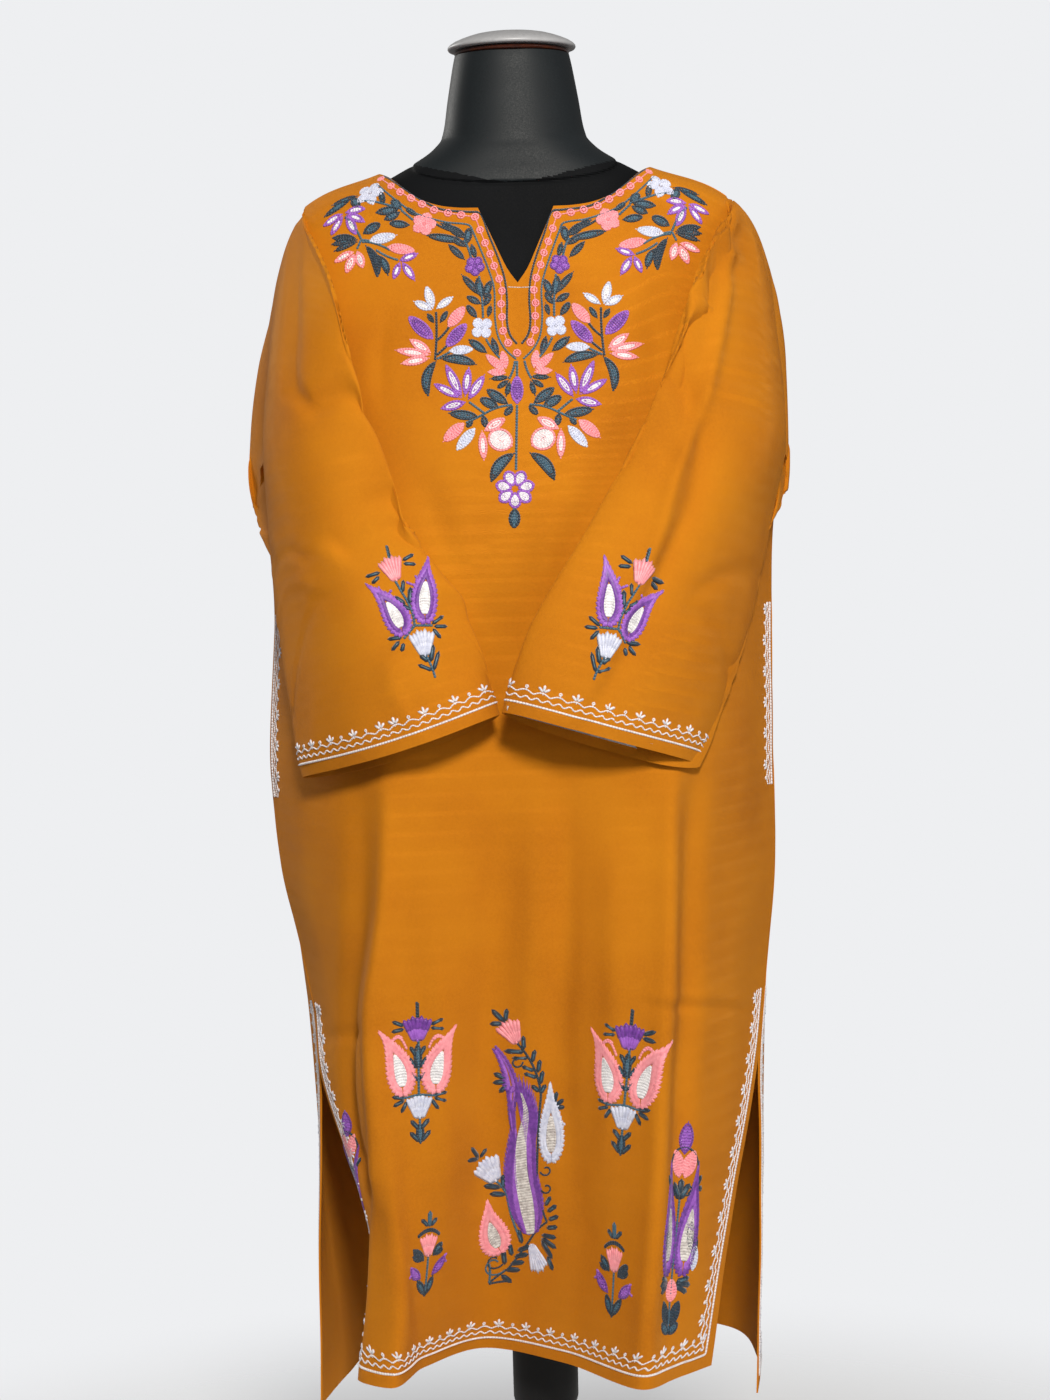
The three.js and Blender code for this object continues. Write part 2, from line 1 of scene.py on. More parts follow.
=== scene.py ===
"""A mustard wool pheran with chain-stitch embroidery, worn by a limbless black dress form.

Lengths are in millimetres until put_mesh writes them in metres. +Z is up, the front looks along -Y,
and left in a name means the side of -X, which is the left of the picture.
"""
import copy
import math

import bpy
import numpy as np
from mathutils import Matrix, Vector


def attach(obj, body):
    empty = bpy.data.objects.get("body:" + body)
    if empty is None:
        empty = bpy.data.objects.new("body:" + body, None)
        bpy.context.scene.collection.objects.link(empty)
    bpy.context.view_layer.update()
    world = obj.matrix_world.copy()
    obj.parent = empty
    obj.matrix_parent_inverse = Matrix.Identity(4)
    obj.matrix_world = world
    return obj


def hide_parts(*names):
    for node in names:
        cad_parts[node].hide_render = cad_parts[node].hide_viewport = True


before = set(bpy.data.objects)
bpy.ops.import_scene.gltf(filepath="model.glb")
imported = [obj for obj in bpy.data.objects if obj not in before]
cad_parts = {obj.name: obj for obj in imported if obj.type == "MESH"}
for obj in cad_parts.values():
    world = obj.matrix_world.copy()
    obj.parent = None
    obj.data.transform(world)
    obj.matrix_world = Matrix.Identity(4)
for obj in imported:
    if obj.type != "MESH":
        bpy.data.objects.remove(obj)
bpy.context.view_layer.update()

# Driving sizes, the same as the solids'
CLOTH_WALL = 1.6
SEAM_GAP = 0.2
UNDERARM_HEIGHT = 1104.0
ARMHOLE_TOP = 1371.0
ARMHOLE_OUT_TOP = 188.0
SLIT_TOP = 650.0
FRONT_HEM = 344.0
BACK_HEM = 304.0
SHOULDER_ROLL = 35.0
CHEST_ROUNDNESS = 2.2
SLEEVE_CLEARANCE = 6.0
NECK_TOP = 1499.0
SEAM_RISE = 3.0
ARMHOLE_GAP = 0.5
POCKET_LOW = 855.0
POCKET_HIGH = 995.0
POCKET_GAPE = 2.8
POCKET_WALL = 1.2
GRID_STEP = 4.2
UNDERARM_SMOOTHING = 160
FORM_AROUND = 160
BAG_AROUND = 72
NECK_BLOCK_LOW = 1407.0
NECK_BLOCK_DIP = 23.0
RIB_SPACING = 2.6

# Camera: where it stands, how far it looks down, its roll, and its focal length in pixels of the picture
CAMERA_PLACE = (-3.0, -2600.0, 1141.0)
CAMERA_PITCH = math.atan(240 / 2879)
CAMERA_ROLL = math.radians(1.48)
FOCAL_PIXELS = 2879.0
PICTURE = (1050, 1400)

# Heights of the shoulder line above the floor, out from the middle
SHOULDER_LINE = np.array([
    (0, 1436), (70, 1420), (122, 1398), (165, 1384), (188, 1371), (250, 1320),
], float)

# Rings of the chest: height, half width and depth of the front, half width and depth of the back
CHEST = np.array([
    (1436, 205, 62, 208, 62),
    (1385, 205, 62, 208, 68),
    (1361, 206, 66, 214, 82),
    (1330, 209, 77, 226, 94),
    (1295, 210, 88, 246, 103),
    (1235, 216, 105, 276, 112),
    (1168, 228, 125, 292, 120),
    (1104, 252, 138, 268, 128),
], float)

# The armhole: height, then how far out its edges lie, front left, front right, back left, back right
ARMHOLE = np.array([
    (1371, 188, 188, 188, 188),
    (1345, 186, 187, 199, 204),
    (1312, 186, 186, 214, 223),
    (1278, 189, 189, 226, 236),
    (1229, 197, 196, 240, 244),
    (1168, 216, 207, 249, 242),
    (1104, 247, 233, 247, 233),
], float)

# Side seam and free edges of the slits: height, left x, left y, right x, right y
SIDE_SEAM = np.array([
    (1104, -247, 44, 233, 38),
    (1092, -237, 31, 229, 28),
    (1060, -230, 13, 225, 13),
    (1000, -228, 0, 222, 0),
    (880, -235, 0, 221, 0),
    (780, -229, 0, 221, 0),
    (700, -211, -8, 214, 0),
    (650, -200, -24, 208, -12),
], float)
FRONT_EDGE = np.array([
    (650, -200, -24, 208, -12),
    (600, -196, -46, 200, -34),
    (530, -172, -84, 184, -64),
    (440, -141, -108, 164, -97),
    (344, -149, -116, 146, -127),
], float)
BACK_EDGE = np.array([
    (650, -200, -24, 208, -12),
    (600, -197, -36, 202, -26),
    (530, -198, -44, 200, -40),
    (440, -201, -60, 197, -58),
    (304, -202, -85, 189, -85),
], float)

# Folds of the front: height, then x and y of the side, nose, wall, valley, wall, nose and side
FRONT_FOLDS = np.array([
    (1104, -212, -24, -148, -108, -76, -135, 0, -139, 76, -135, 146, -108, 203, -28),
    (1060, -206, -50, -136, -124, -70, -142, 0, -140, 66, -142, 135, -124, 200, -52),
    (1000, -195, -80, -122, -139, -70, -144, 0, -140, 60, -144, 122, -139, 186, -80),
    (880, -198, -80, -124, -146, -78, -145, -5, -138, 48, -143, 120, -148, 182, -80),
    (780, -193, -82, -128, -151, -82, -147, -10, -135, 46, -143, 115, -155, 176, -84),
    (700, -183, -88, -135, -154, -86, -145, -15, -130, 44, -141, 110, -160, 170, -90),
    (650, -177, -94, -138, -155, -88, -143, -20, -124, 42, -139, 107, -162, 166, -96),
    (600, -172, -103, -138, -156, -88, -140, -25, -118, 40, -135, 104, -165, 160, -104),
    (530, -158, -124, -132, -160, -90, -138, -30, -104, 35, -128, 100, -170, 149, -120),
    (440, -152, -140, -124, -162, -92, -128, -40, -86, 28, -120, 94, -177, 134, -140),
    (344, -165, -140, -132, -168, -106, -112, -56, -60, 15, -108, 84, -189, 120, -154),
], float)

# Folds of the back: height, then x and y of the flank, corner, ridge, hollow, ridge, corner and flank
BACK_FOLDS = np.array([
    (1104, -234, 76, -198, 103, -105, 126, 0, 128, 105, 126, 195, 101, 225, 72),
    (1060, -224, 62, -184, 108, -98, 129, 0, 127, 98, 129, 180, 108, 219, 62),
    (1000, -222, 55, -178, 110, -95, 131, 0, 126, 95, 131, 175, 110, 216, 55),
    (880, -226, 58, -180, 113, -95, 135, 0, 126, 98, 135, 178, 113, 214, 56),
    (780, -223, 60, -182, 118, -98, 139, 0, 125, 100, 139, 178, 117, 215, 58),
    (700, -215, 52, -182, 120, -100, 143, 0, 124, 102, 143, 180, 118, 214, 55),
    (600, -207, 42, -179, 120, -99, 146, 0, 121, 102, 147, 183, 117, 210, 47),
    (440, -197, 15, -170, 112, -96, 151, 0, 117, 102, 152, 186, 114, 203, 30),
    (304, -184, 0, -160, 88, -95, 152, 0, 112, 100, 154, 181, 112, 199, 20),
], float)

# Columns of the panels: share of the width, how far out each starts at the top, and its height there
FRONT_COLUMNS = np.array([
    (0, 0, 1294), (0.045, 9, 1307), (0.09, 19, 1329), (0.14, 33, 1361),
    (0.21, 50, 1361.5), (0.28, 67, 1364), (0.35, 83, 1370), (0.42, 97, 1380),
    (0.49, 110, 1391), (0.56, 122, 1398),
    (0.64, 133, 0), (0.72, 145, 0), (0.8, 157, 0), (0.9, 173, 0), (1, 188, 0),
])
BACK_COLUMNS = np.array([
    (0, 0, 1384), (0.15, 35, 1384.5), (0.3, 70, 1387), (0.44, 100, 1392), (0.56, 122, 1398),
    (0.68, 140, 0), (0.8, 157, 0), (0.9, 173, 0), (1, 188, 0),
])
FRONT_CORNERS = (0.0, 0.14, 0.56, 1.0)
BACK_CORNERS = (0.0, 0.56, 1.0)

# Sections of the sleeves: x, y, z of the top line, front edge, underside and back edge
SLEEVE_PLACES = np.array([0, 0.2, 0.45, 0.6, 0.74, 0.86, 0.965, 1])
LEFT_SLEEVE = np.array([
    ((-197, -32, 1335), (-158, -108, 1232), (-234, 7, 1102), (-232, 34, 1203)),
    ((-207, -102, 1170), (-126, -134, 1168), (-208, -74, 1064), (-230, 0, 1122)),
    ((-183, -136, 1082), (-95, -148, 1092), (-168, -112, 1036), (-225, -34, 1050)),
    ((-156, -162, 1016), (-62, -158, 1032), (-134, -138, 996), (-217, -60, 986)),
    ((-138, -176, 962), (-40, -163, 984), (-122, -146, 944), (-209, -84, 932)),
    ((-121, -184, 917), (-27, -166, 944), (-115, -150, 906), (-202, -101, 884)),
    ((-112, -185, 898), (-24, -166, 926), (-112, -150, 889), (-199, -103, 870)),
], float)
RIGHT_SLEEVE = np.array([
    ((204, -30, 1340), (150, -112, 1244), (225, 4, 1100), (236, 34, 1213)),
    ((202, -106, 1166), (102, -143, 1168), (190, -80, 1068), (235, 4, 1136)),
    ((165, -144, 1090), (60, -164, 1096), (150, -120, 1046), (219, -24, 1073)),
    ((126, -172, 1020), (24, -180, 1040), (108, -146, 1002), (199, -66, 1000)),
    ((101, -188, 966), (-2, -186, 992), (90, -150, 948), (176, -96, 942)),
    ((76, -196, 922), (-18, -187, 946), (72, -151, 906), (155, -120, 893)),
    ((66, -196, 906), (-22, -186, 929), (66, -151, 892), (145, -130, 875)),
], float)

# Sections of a pocket bag: into the body, toward the front, lowest and highest height, half thickness
POCKET_BAG = np.array([
    (4.6, 0, 861, 989, 6),
    (11, -1, 857, 991, 6.5),
    (21, -10, 840, 992, 6.5),
    (30, -27, 822, 992, 6.5),
    (35, -44, 806, 988, 6),
    (41, -60, 800, 976, 4),
])


# Curves and small helpers
def follow(places, values, at):
    """A smooth curve through values at places: cubics, each knot's slope that of its neighbours."""
    places = np.asarray(places, float)
    values = np.asarray(values, float)
    at = np.asarray(at, float)
    if places[-1] < places[0]:
        places = places[::-1]
        values = values[::-1]
    last = len(places) - 1
    i = np.clip(np.searchsorted(places, at, side="left") - 1, 0, last - 1)
    k = np.arange(last + 1)
    a = np.maximum(k - 1, 0)
    b = np.minimum(k + 1, last)
    wide = (-1,) + (1,) * (values.ndim - 1)
    slope = (values[b] - values[a]) / (places[b] - places[a]).reshape(wide)
    span = (places[i + 1] - places[i])
    t = np.clip((at - places[i]) / span, 0, 1)
    shape = t.shape + (1,) * (values.ndim - 1)
    t = t.reshape(shape)
    span = span.reshape(shape)
    t2 = t * t
    t3 = t2 * t
    return (
        (2 * t3 - 3 * t2 + 1) * values[i]
        + (t3 - 2 * t2 + t) * span * slope[i]
        + (3 * t2 - 2 * t3) * values[i + 1]
        + (t3 - t2) * span * slope[i + 1]
    )


def mix(a, b, t):
    """A share t of the way from a to b."""
    return a + (b - a) * t


def along(points):
    """How far along a line of points each lies."""
    return np.concatenate([[0], np.cumsum(np.linalg.norm(np.diff(points, axis=0), axis=1))])


def between(at, places, field):
    """Rows of a field, given at places, read at other places by straight lines."""
    return np.stack([np.interp(at, places, column) for column in field.T], -1)


def unit(ways):
    """Vectors along the last axis, made one long."""
    return ways / np.maximum(np.linalg.norm(ways, axis=-1, keepdims=True), 1e-9)


def circle(turn):
    """Points of a circle of radius one at angles."""
    return np.stack([np.cos(turn), np.sin(turn)], -1)


def power(values, exponent):
    """Values to a power, with their signs kept."""
    return np.sign(values) * np.abs(values) ** exponent


def ease(t):
    """0 below 0, 1 above 1, and smooth between."""
    k = np.clip(t, 0, 1)
    return k * k * (3 - 2 * k)


def through(points, t):
    """A curve through each row of points, with knots spaced by the root of the distance."""
    count = points.shape[1]
    first = 2 * points[:, :1] - points[:, 1:2]
    final = 2 * points[:, -1:] - points[:, -2:-1]
    held = np.concatenate([first, points, final], axis=1)
    place = np.clip(np.asarray(t, float), 0, 1) * (count - 1)
    i = np.minimum(place.astype(int), count - 2)
    w = (place - i)[None, :, None]
    p0, p1, p2, p3 = (held[:, i + k] for k in range(4))
    gap = lambda a, b: np.sqrt(np.linalg.norm(b - a, axis=-1, keepdims=True))
    d0, d1, d2 = gap(p0, p1), gap(p1, p2), gap(p2, p3)
    d1 = np.where(d1 < 1e-4, 1.0, d1)
    d0 = np.where(d0 < 1e-4, d1, d0)
    d2 = np.where(d2 < 1e-4, d1, d2)
    t1 = ((p1 - p0) / d0 - (p2 - p0) / (d0 + d1) + (p2 - p1) / d1) * d1
    t2 = ((p2 - p1) / d1 - (p3 - p1) / (d1 + d2) + (p3 - p2) / d2) * d1
    c2 = -3 * p1 + 3 * p2 - 2 * t1 - t2
    c3 = 2 * p1 - 2 * p2 + t1 + t2
    return p1 + t1 * w + c2 * w ** 2 + c3 * w ** 3


def shoulder_at(out):
    """Height of the shoulder line at a distance out from the middle."""
    return follow(SHOULDER_LINE[:, 0], SHOULDER_LINE[:, 1], np.abs(out))


def chest_y(x, z, front):
    """How far the chest stands from the middle plane: a superellipse ring, rolled in at the shoulder line."""
    k = 1 if front else 3
    half = follow(CHEST[:, 0], CHEST[:, k], z)
    deep = follow(CHEST[:, 0], CHEST[:, k + 1], z)
    share = np.minimum(np.abs(x) / half, 1)
    ring = (1 - share ** CHEST_ROUNDNESS) ** (1 / CHEST_ROUNDNESS)
    drop = np.clip((shoulder_at(x) - z) / SHOULDER_ROLL, 0, 1)
    roll = np.sqrt(1 - (1 - drop) ** 2)
    return (-1 if front else 1) * deep * ring * roll


def edges_at(z, front):
    """Left and right edge of a panel at heights z, with the seam gap and the pocket's mouth."""
    sign = -1 if front else 1
    seam = follow(SIDE_SEAM[:, 0], SIDE_SEAM[:, 1:], z)
    free = FRONT_EDGE if front else BACK_EDGE
    slit = follow(free[:, 0], free[:, 1:], z)
    edge = np.where((z >= SLIT_TOP)[:, None], seam, slit)
    mouth = ease((z - POCKET_LOW) / 12) * ease((POCKET_HIGH - z) / 12)
    corner = ease((z - 1040) / 30)
    shift = sign * (SEAM_GAP / 2 + POCKET_GAPE * mouth + 0.35 * corner)
    left = np.stack([edge[:, 0], edge[:, 1] + shift], -1)
    right = np.stack([edge[:, 2], edge[:, 3] + shift], -1)
    return left, right


def lower_rows(shares, z, front):
    """Rows of a panel at and below the underarm: curves from edge to edge through the folds."""
    z = np.asarray(z, float)
    folds = FRONT_FOLDS if front else BACK_FOLDS
    left, right = edges_at(z, front)
    inner = follow(folds[:, 0], folds[:, 1:], z).reshape(len(z), 7, 2)
    ends = np.concatenate([left[:, None], inner, right[:, None]], axis=1)
    flat = through(ends, (np.asarray(shares) + 1) / 2)
    return np.concatenate([flat, np.broadcast_to(z[:, None, None], flat.shape[:2] + (1,))], -1)


def column_tops(shares, front):
    """How far out each column starts, and its height there: straight at the notch, curved at the neck."""
    table = FRONT_COLUMNS if front else BACK_COLUMNS
    corners = FRONT_CORNERS if front else BACK_CORNERS
    share = np.abs(shares)
    out = np.zeros_like(share)
    top = np.zeros_like(share)
    for start, end in zip(corners[:-1], corners[1:]):
        rows = table[(table[:, 0] >= start - 1e-9) & (table[:, 0] <= end + 1e-9)]
        here = (share >= start - 1e-9) & (share <= end + 1e-9)
        out[here] = follow(rows[:, 0], rows[:, 1], share[here])
        heights = shoulder_at(out[here]) if end == 1 else follow(rows[:, 0], rows[:, 2], share[here])
        top[here] = heights
    return out, top


def upper_rows(shares, steps, front):
    """Rows of a panel from its top edge down to the underarm, over the chest's form."""
    shares = np.asarray(shares, float)
    side = np.where(shares < 0, -1.0, 1.0)
    out, top = column_tops(shares, front)
    step = np.asarray(steps, float)[:, None]
    z = mix(top[None], UNDERARM_HEIGHT, step)
    base = lower_rows(shares, [UNDERARM_HEIGHT], front)[0]
    ends = lower_rows([-1.0, 1.0], [UNDERARM_HEIGHT], front)[0]
    arm_height = mix(ARMHOLE_TOP, UNDERARM_HEIGHT, step[:, 0])
    name = 1 if front else 3
    arm_left = follow(ARMHOLE[:, 0], ARMHOLE[:, name], arm_height)[:, None]
    arm_right = follow(ARMHOLE[:, 0], ARMHOLE[:, name + 1], arm_height)[:, None]
    left = side[None] < 0
    arm = np.where(left, arm_left, arm_right)
    straight = mix(ARMHOLE_OUT_TOP, np.where(left, abs(ends[0, 0]), abs(ends[1, 0])), step)
    bow = (arm - straight) * shares[None] ** 2
    x = side * (mix(out[None], np.abs(base[None, :, 0]), step) + bow)
    low = base[:, 1] - chest_y(base[:, 0], np.full(len(shares), UNDERARM_HEIGHT), front)
    y = chest_y(x, z, front) + low[None] * step ** 3
    gap = np.where((np.abs(shares) >= 0.56)[None] & (step == 0), SEAM_GAP / 2, 0)
    return np.stack([x, y + (-1 if front else 1) * gap, z], -1)


def finer(places, step):
    """The same places with more between them, none further apart than step."""
    parts = []
    for a, b in zip(places[:-1], places[1:]):
        n = max(1, int(math.ceil(abs(b - a) / step - 1e-6)))
        parts.append(a + (b - a) * np.arange(n) / n)
    return np.concatenate(parts + [np.array([places[-1]])])


def panel_points(front):
    """Grid of one panel, from the top edge to the hem and from left to right."""
    table = FRONT_COLUMNS if front else BACK_COLUMNS
    half = finer(table[:, 0], GRID_STEP / 275)
    shares = np.concatenate([-half[:0:-1], half])
    steps = finer(np.array([0, 0.01, 0.03, 0.07, 0.14, 1]), GRID_STEP / 290)
    hem = FRONT_HEM if front else BACK_HEM
    heights = finer(np.array([UNDERARM_HEIGHT, 995, 983, 867, 855, SLIT_TOP, hem]), GRID_STEP)[1:]
    upper = upper_rows(shares, steps, front)
    lower = lower_rows(shares, heights, front)
    return np.concatenate([upper, lower]), shares


def normals_of(grid, closed=False):
    """Unit normal at each point of a grid, from the lines across and down."""
    if closed:
        across = np.roll(grid, -1, 1) - np.roll(grid, 1, 1)
    else:
        across = np.gradient(grid, axis=1)
    down = np.gradient(grid, axis=0)
    return unit(np.cross(across, -down))


def front_y(x, z):
    """Depth of the front panel wherever a sleeve lies over it."""
    left = x < 0
    arm = lambda h: np.where(
        left,
        follow(ARMHOLE[:, 0], ARMHOLE[:, 1], h),
        follow(ARMHOLE[:, 0], ARMHOLE[:, 2], h),
    )
    high = np.maximum(z, UNDERARM_HEIGHT)
    wider = arm(np.full_like(z, UNDERARM_HEIGHT)) / arm(high)
    fine = lower_rows(np.linspace(-1, 1, 161), [UNDERARM_HEIGHT], True)[0]
    at_underarm = np.interp(x * wider, fine[:, 0], fine[:, 1])
    low = at_underarm - chest_y(x * wider, np.full_like(z, UNDERARM_HEIGHT), True)
    step = np.maximum((ARMHOLE_TOP - high) / (ARMHOLE_TOP - UNDERARM_HEIGHT), 0)
    above = chest_y(x, high, True) + low * step ** 3
    heights = np.arange(860.0, UNDERARM_HEIGHT + 1, 4)
    field = lower_rows(np.linspace(-1, 1, 161), heights, True)
    below = np.zeros_like(x)
    row = np.clip((z - heights[0]) / 4, 0, len(heights) - 1.001)
    i = row.astype(int)
    for k in np.unique(i):
        here = i == k
        a = np.interp(x[here], field[k, :, 0], field[k, :, 1])
        b = np.interp(x[here], field[k + 1, :, 0], field[k + 1, :, 1])
        below[here] = mix(a, b, row[here] - k)
    return np.where(z < UNDERARM_HEIGHT, below, above)


def turns_along(edge):
    """Half a turn, shared out along an edge by length."""
    walked = along(edge)
    return math.pi * walked / walked[-1]


def sleeve_points(side, sections):
    """Grid of one sleeve, from the armhole to the cuff: each ring is an oval through its four named lines."""
    steps = finer(np.array([0.0, 1.0]), GRID_STEP / 300)
    share = np.array([float(side)])
    front_edge = upper_rows(share, steps, True)[:, 0]
    back_edge = upper_rows(share, steps, False)[:, 0]
    front_edge[0, 1] = 0
    front_edge[-1, 1] = (front_edge[-1, 1] + back_edge[-1, 1]) / 2
    ring = np.concatenate([front_edge, back_edge[-2:0:-1]])
    turn_front = turns_along(front_edge)
    turn_back = 2 * math.pi - turns_along(back_edge)
    turn = np.concatenate([turn_front, turn_back[-2:0:-1]])
    top, fore, under, back = (sections[:, k][:, None] for k in range(4))
    wave = turn[None, :, None]
    rows = (
        (top + fore + under + back) / 4
        + (fore - back) / 2 * np.sin(wave)
        + (top - under) / 2 * np.cos(wave)
        + (top + under - fore - back) / 4 * np.cos(2 * wave)
    )
    held = np.concatenate([ring[None], rows])
    places = finer(np.array([0, 0.04, 0.1, 1.0]), 0.0078)
    grid = follow(SLEEVE_PLACES, held, places)
    step = places[:, None]
    degrees = np.degrees(turn)[None]
    fade = mix(225, 330, ease((step - 0.2) / 0.2))
    upper = ease((degrees - 20) / 30) * ease((fade - degrees) / 30)
    weight = mix(upper, 1, ease((step - 0.45) / 0.15))
    start = ease(step / 0.04) * (1 - ease((step - 0.08) / 0.14))
    lower = ease(turn / 0.9)[None] * ease((2 * math.pi - turn) / 0.9)[None]
    grid[..., 0] += side * SEAM_RISE * start * lower
    limit = front_y(grid[..., 0], grid[..., 2]) - mix(SEAM_RISE, SLEEVE_CLEARANCE, ease(step / 0.1))
    over = grid[..., 1] > limit
    grid[..., 1] = np.where(over & (step > 0), mix(grid[..., 1], limit, weight), grid[..., 1])
    grid[0, :, 0] += side * ARMHOLE_GAP
    under_arm = ease((degrees - 105) / 35) * ease((300 - degrees) / 40)
    calm = (under_arm * (1 - ease((step - 0.2) / 0.12)))[1:-1, :, None]
    for _ in range(UNDERARM_SMOOTHING):
        grid[1:-1] += 0.5 * calm * ((grid[:-2] + grid[2:]) / 2 - grid[1:-1])
    return grid


# Meshes
def grid_faces(rows, columns, closed, start=0, flip=False):
    """Quads of a grid of points, numbered from start."""
    r = np.arange(rows - 1)[:, None]
    c = np.arange(columns if closed else columns - 1)[None]
    at = lambda i, j: start + i * columns + j % columns
    quads = np.stack([at(r, c), at(r + 1, c), at(r + 1, c + 1), at(r, c + 1)], -1).reshape(-1, 4)
    return quads[:, ::-1] if flip else quads


def put_mesh(name, points, faces, uv=None, materials=(), slots=None, crease_degrees=None):
    """A mesh object from points in millimetres and faces that all have the same number of corners."""
    mesh = bpy.data.meshes.new(name)
    points = np.asarray(points, float) / 1000
    faces = np.asarray(faces, np.int32)
    corners = faces.shape[1]
    mesh.vertices.add(len(points))
    mesh.vertices.foreach_set("co", points.astype(np.float32).ravel())
    mesh.loops.add(faces.size)
    mesh.loops.foreach_set("vertex_index", faces.ravel())
    mesh.polygons.add(len(faces))
    mesh.polygons.foreach_set("loop_start", np.arange(0, faces.size, corners, dtype=np.int32))
    mesh.update(calc_edges=True)
    mesh.validate()
    if uv is not None:
        layer = mesh.uv_layers.new(name="flat")
        layer.data.foreach_set("uv", np.asarray(uv, np.float32)[faces.ravel()].ravel())
    for material in materials:
        mesh.materials.append(material)
    if slots is not None:
        mesh.polygons.foreach_set("material_index", np.asarray(slots, np.int32))
    mesh.shade_smooth()
    if crease_degrees:
        mesh.set_sharp_from_angle(angle=math.radians(crease_degrees))
    made = bpy.data.objects.new(name, mesh)
    bpy.context.scene.collection.objects.link(made)
    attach(made, "root")
    return made


class Cloth:
    """One piece of cloth: its grid, the flat place of each point in millimetres, and its outward normals.

    A closed piece, such as a sleeve, repeats its first column as its last.
    """

    def __init__(self, name, grid, middle, level, out=1, closed=False):
        if closed:
            grid = np.concatenate([grid, grid[:, :1]], 1)
        self.name = name
        self.grid = grid
        self.closed = closed
        self.out = out
        across = np.linalg.norm(np.diff(grid if closed else grid[..., :2], axis=1), axis=-1)
        u = np.concatenate([np.zeros((len(grid), 1)), np.cumsum(across, axis=1)], 1)
        u = u - u[:, middle:middle + 1]
        drop = np.linalg.norm(np.diff(grid if closed else grid[..., 1:], axis=0), axis=-1)
        v = -np.concatenate([np.zeros((1, grid.shape[1])), np.cumsum(drop, axis=0)], 0)
        v = v - v[level:level + 1]
        self.flat = np.stack([u, v], -1)
        self.measure()
        self.base = self.grid
        self.base_normal = self.normal

    def measure(self):
        """Normals, and where each point shows in the picture."""
        if self.closed:
            normal = normals_of(self.grid[:, :-1], True)
            normal = np.concatenate([normal, normal[:, :1]], 1)
        else:
            normal = normals_of(self.grid)
        self.normal = normal * self.out
        self.seen = picture_place(self.grid)

    def sample(self, field, r, c):
        """Value of a field between grid points, r rows down and c columns across."""
        r = np.clip(r, 0, field.shape[0] - 1.001)
        c = np.clip(c, 0, field.shape[1] - 1.001)
        i = r.astype(int)
        j = c.astype(int)
        a = (r - i)[..., None]
        b = (c - j)[..., None]
        low = field[i, j] * (1 - b) + field[i, j + 1] * b
        high = field[i + 1, j] * (1 - b) + field[i + 1, j + 1] * b
        return low * (1 - a) + high * a

    def solve(self, field, target, r, c, rounds=9):
        """Rows and columns where a field of pairs reaches its targets, by Newton steps from r and c."""
        for _ in range(rounds):
            miss = target - self.sample(field, r, c)
            down = self.sample(field, r + 0.5, c) - self.sample(field, r - 0.5, c)
            side = self.sample(field, r, c + 0.5) - self.sample(field, r, c - 0.5)
            det = down[..., 0] * side[..., 1] - down[..., 1] * side[..., 0]
            det = np.where(np.abs(det) < 1e-6, 1e-6, det)
            r = r + np.clip((miss[..., 0] * side[..., 1] - miss[..., 1] * side[..., 0]) / det, -8, 8)
            c = c + np.clip((down[..., 0] * miss[..., 1] - down[..., 1] * miss[..., 0]) / det, -8, 8)
            r = np.clip(r, 0, field.shape[0] - 1.001)
            c = np.clip(c, 0, field.shape[1] - 1.001)
        return r, c

    def seen_at(self, px, py):
        """Row and column that show at a pixel of the picture, the nearest layer to the camera."""
        rows = []
        cols = []
        for x, y in zip(px, py):
            far = np.hypot(self.seen[..., 0] - x, self.seen[..., 1] - y)
            far = far + 0.02 * (self.grid[..., 1] + 200)
            k = int(np.argmin(far))
            rows.append(k // far.shape[1])
            cols.append(k % far.shape[1])
        return self.solve(self.seen, np.stack([px, py], -1), np.array(rows, float), np.array(cols, float))

    def flat_at(self, pixels):
        """Flat places that show at pixels of the picture."""
        r, c = self.seen_at(*np.array(pixels, float).T)
        return self.sample(self.flat, r, c)

    def lift(self, r, c, heights):
        """Points above the cloth at rows and columns."""
        return self.sample(self.grid, r, c) + unit(self.sample(self.normal, r, c)) * heights[:, None]

    def walk(self, r, c, ways, steps=12):
        """Rows and columns reached by straight walks over the cloth before it was creased.

        ways are vectors in millimetres; at each step the way is turned into the surface there.
        """
        r = np.broadcast_to(r, len(ways)).astype(float)
        c = np.broadcast_to(c, len(ways)).astype(float)
        size = np.linalg.norm(ways, axis=1)
        way = ways / np.maximum(size, 1e-9)[:, None]
        high = self.base.shape[0] - 1.001
        wide = self.base.shape[1] - 1.001
        dot = lambda a, b: (a * b).sum(-1)
        for _ in range(steps):
            r0, r1 = np.clip(r - 0.5, 0, high), np.clip(r + 0.5, 0, high)
            c0, c1 = np.clip(c - 0.5, 0, wide), np.clip(c + 0.5, 0, wide)
            down = (self.sample(self.base, r1, c) - self.sample(self.base, r0, c)) / (r1 - r0)[:, None]
            side = (self.sample(self.base, r, c1) - self.sample(self.base, r, c0)) / (c1 - c0)[:, None]
            det = np.maximum(dot(down, down) * dot(side, side) - dot(down, side) ** 2, 1e-6)
            a = (dot(way, down) * dot(side, side) - dot(way, side) * dot(down, side)) / det
            b = (dot(way, side) * dot(down, down) - dot(way, down) * dot(down, side)) / det
            flat_way = down * a[:, None] + side * b[:, None]
            length = np.maximum(np.linalg.norm(flat_way, axis=1), 1e-9)
            way = flat_way / length[:, None]
            r = np.clip(r + a / length * size / steps, 0, high)
            c = np.clip(c + b / length * size / steps, 0, wide)
        return r, c

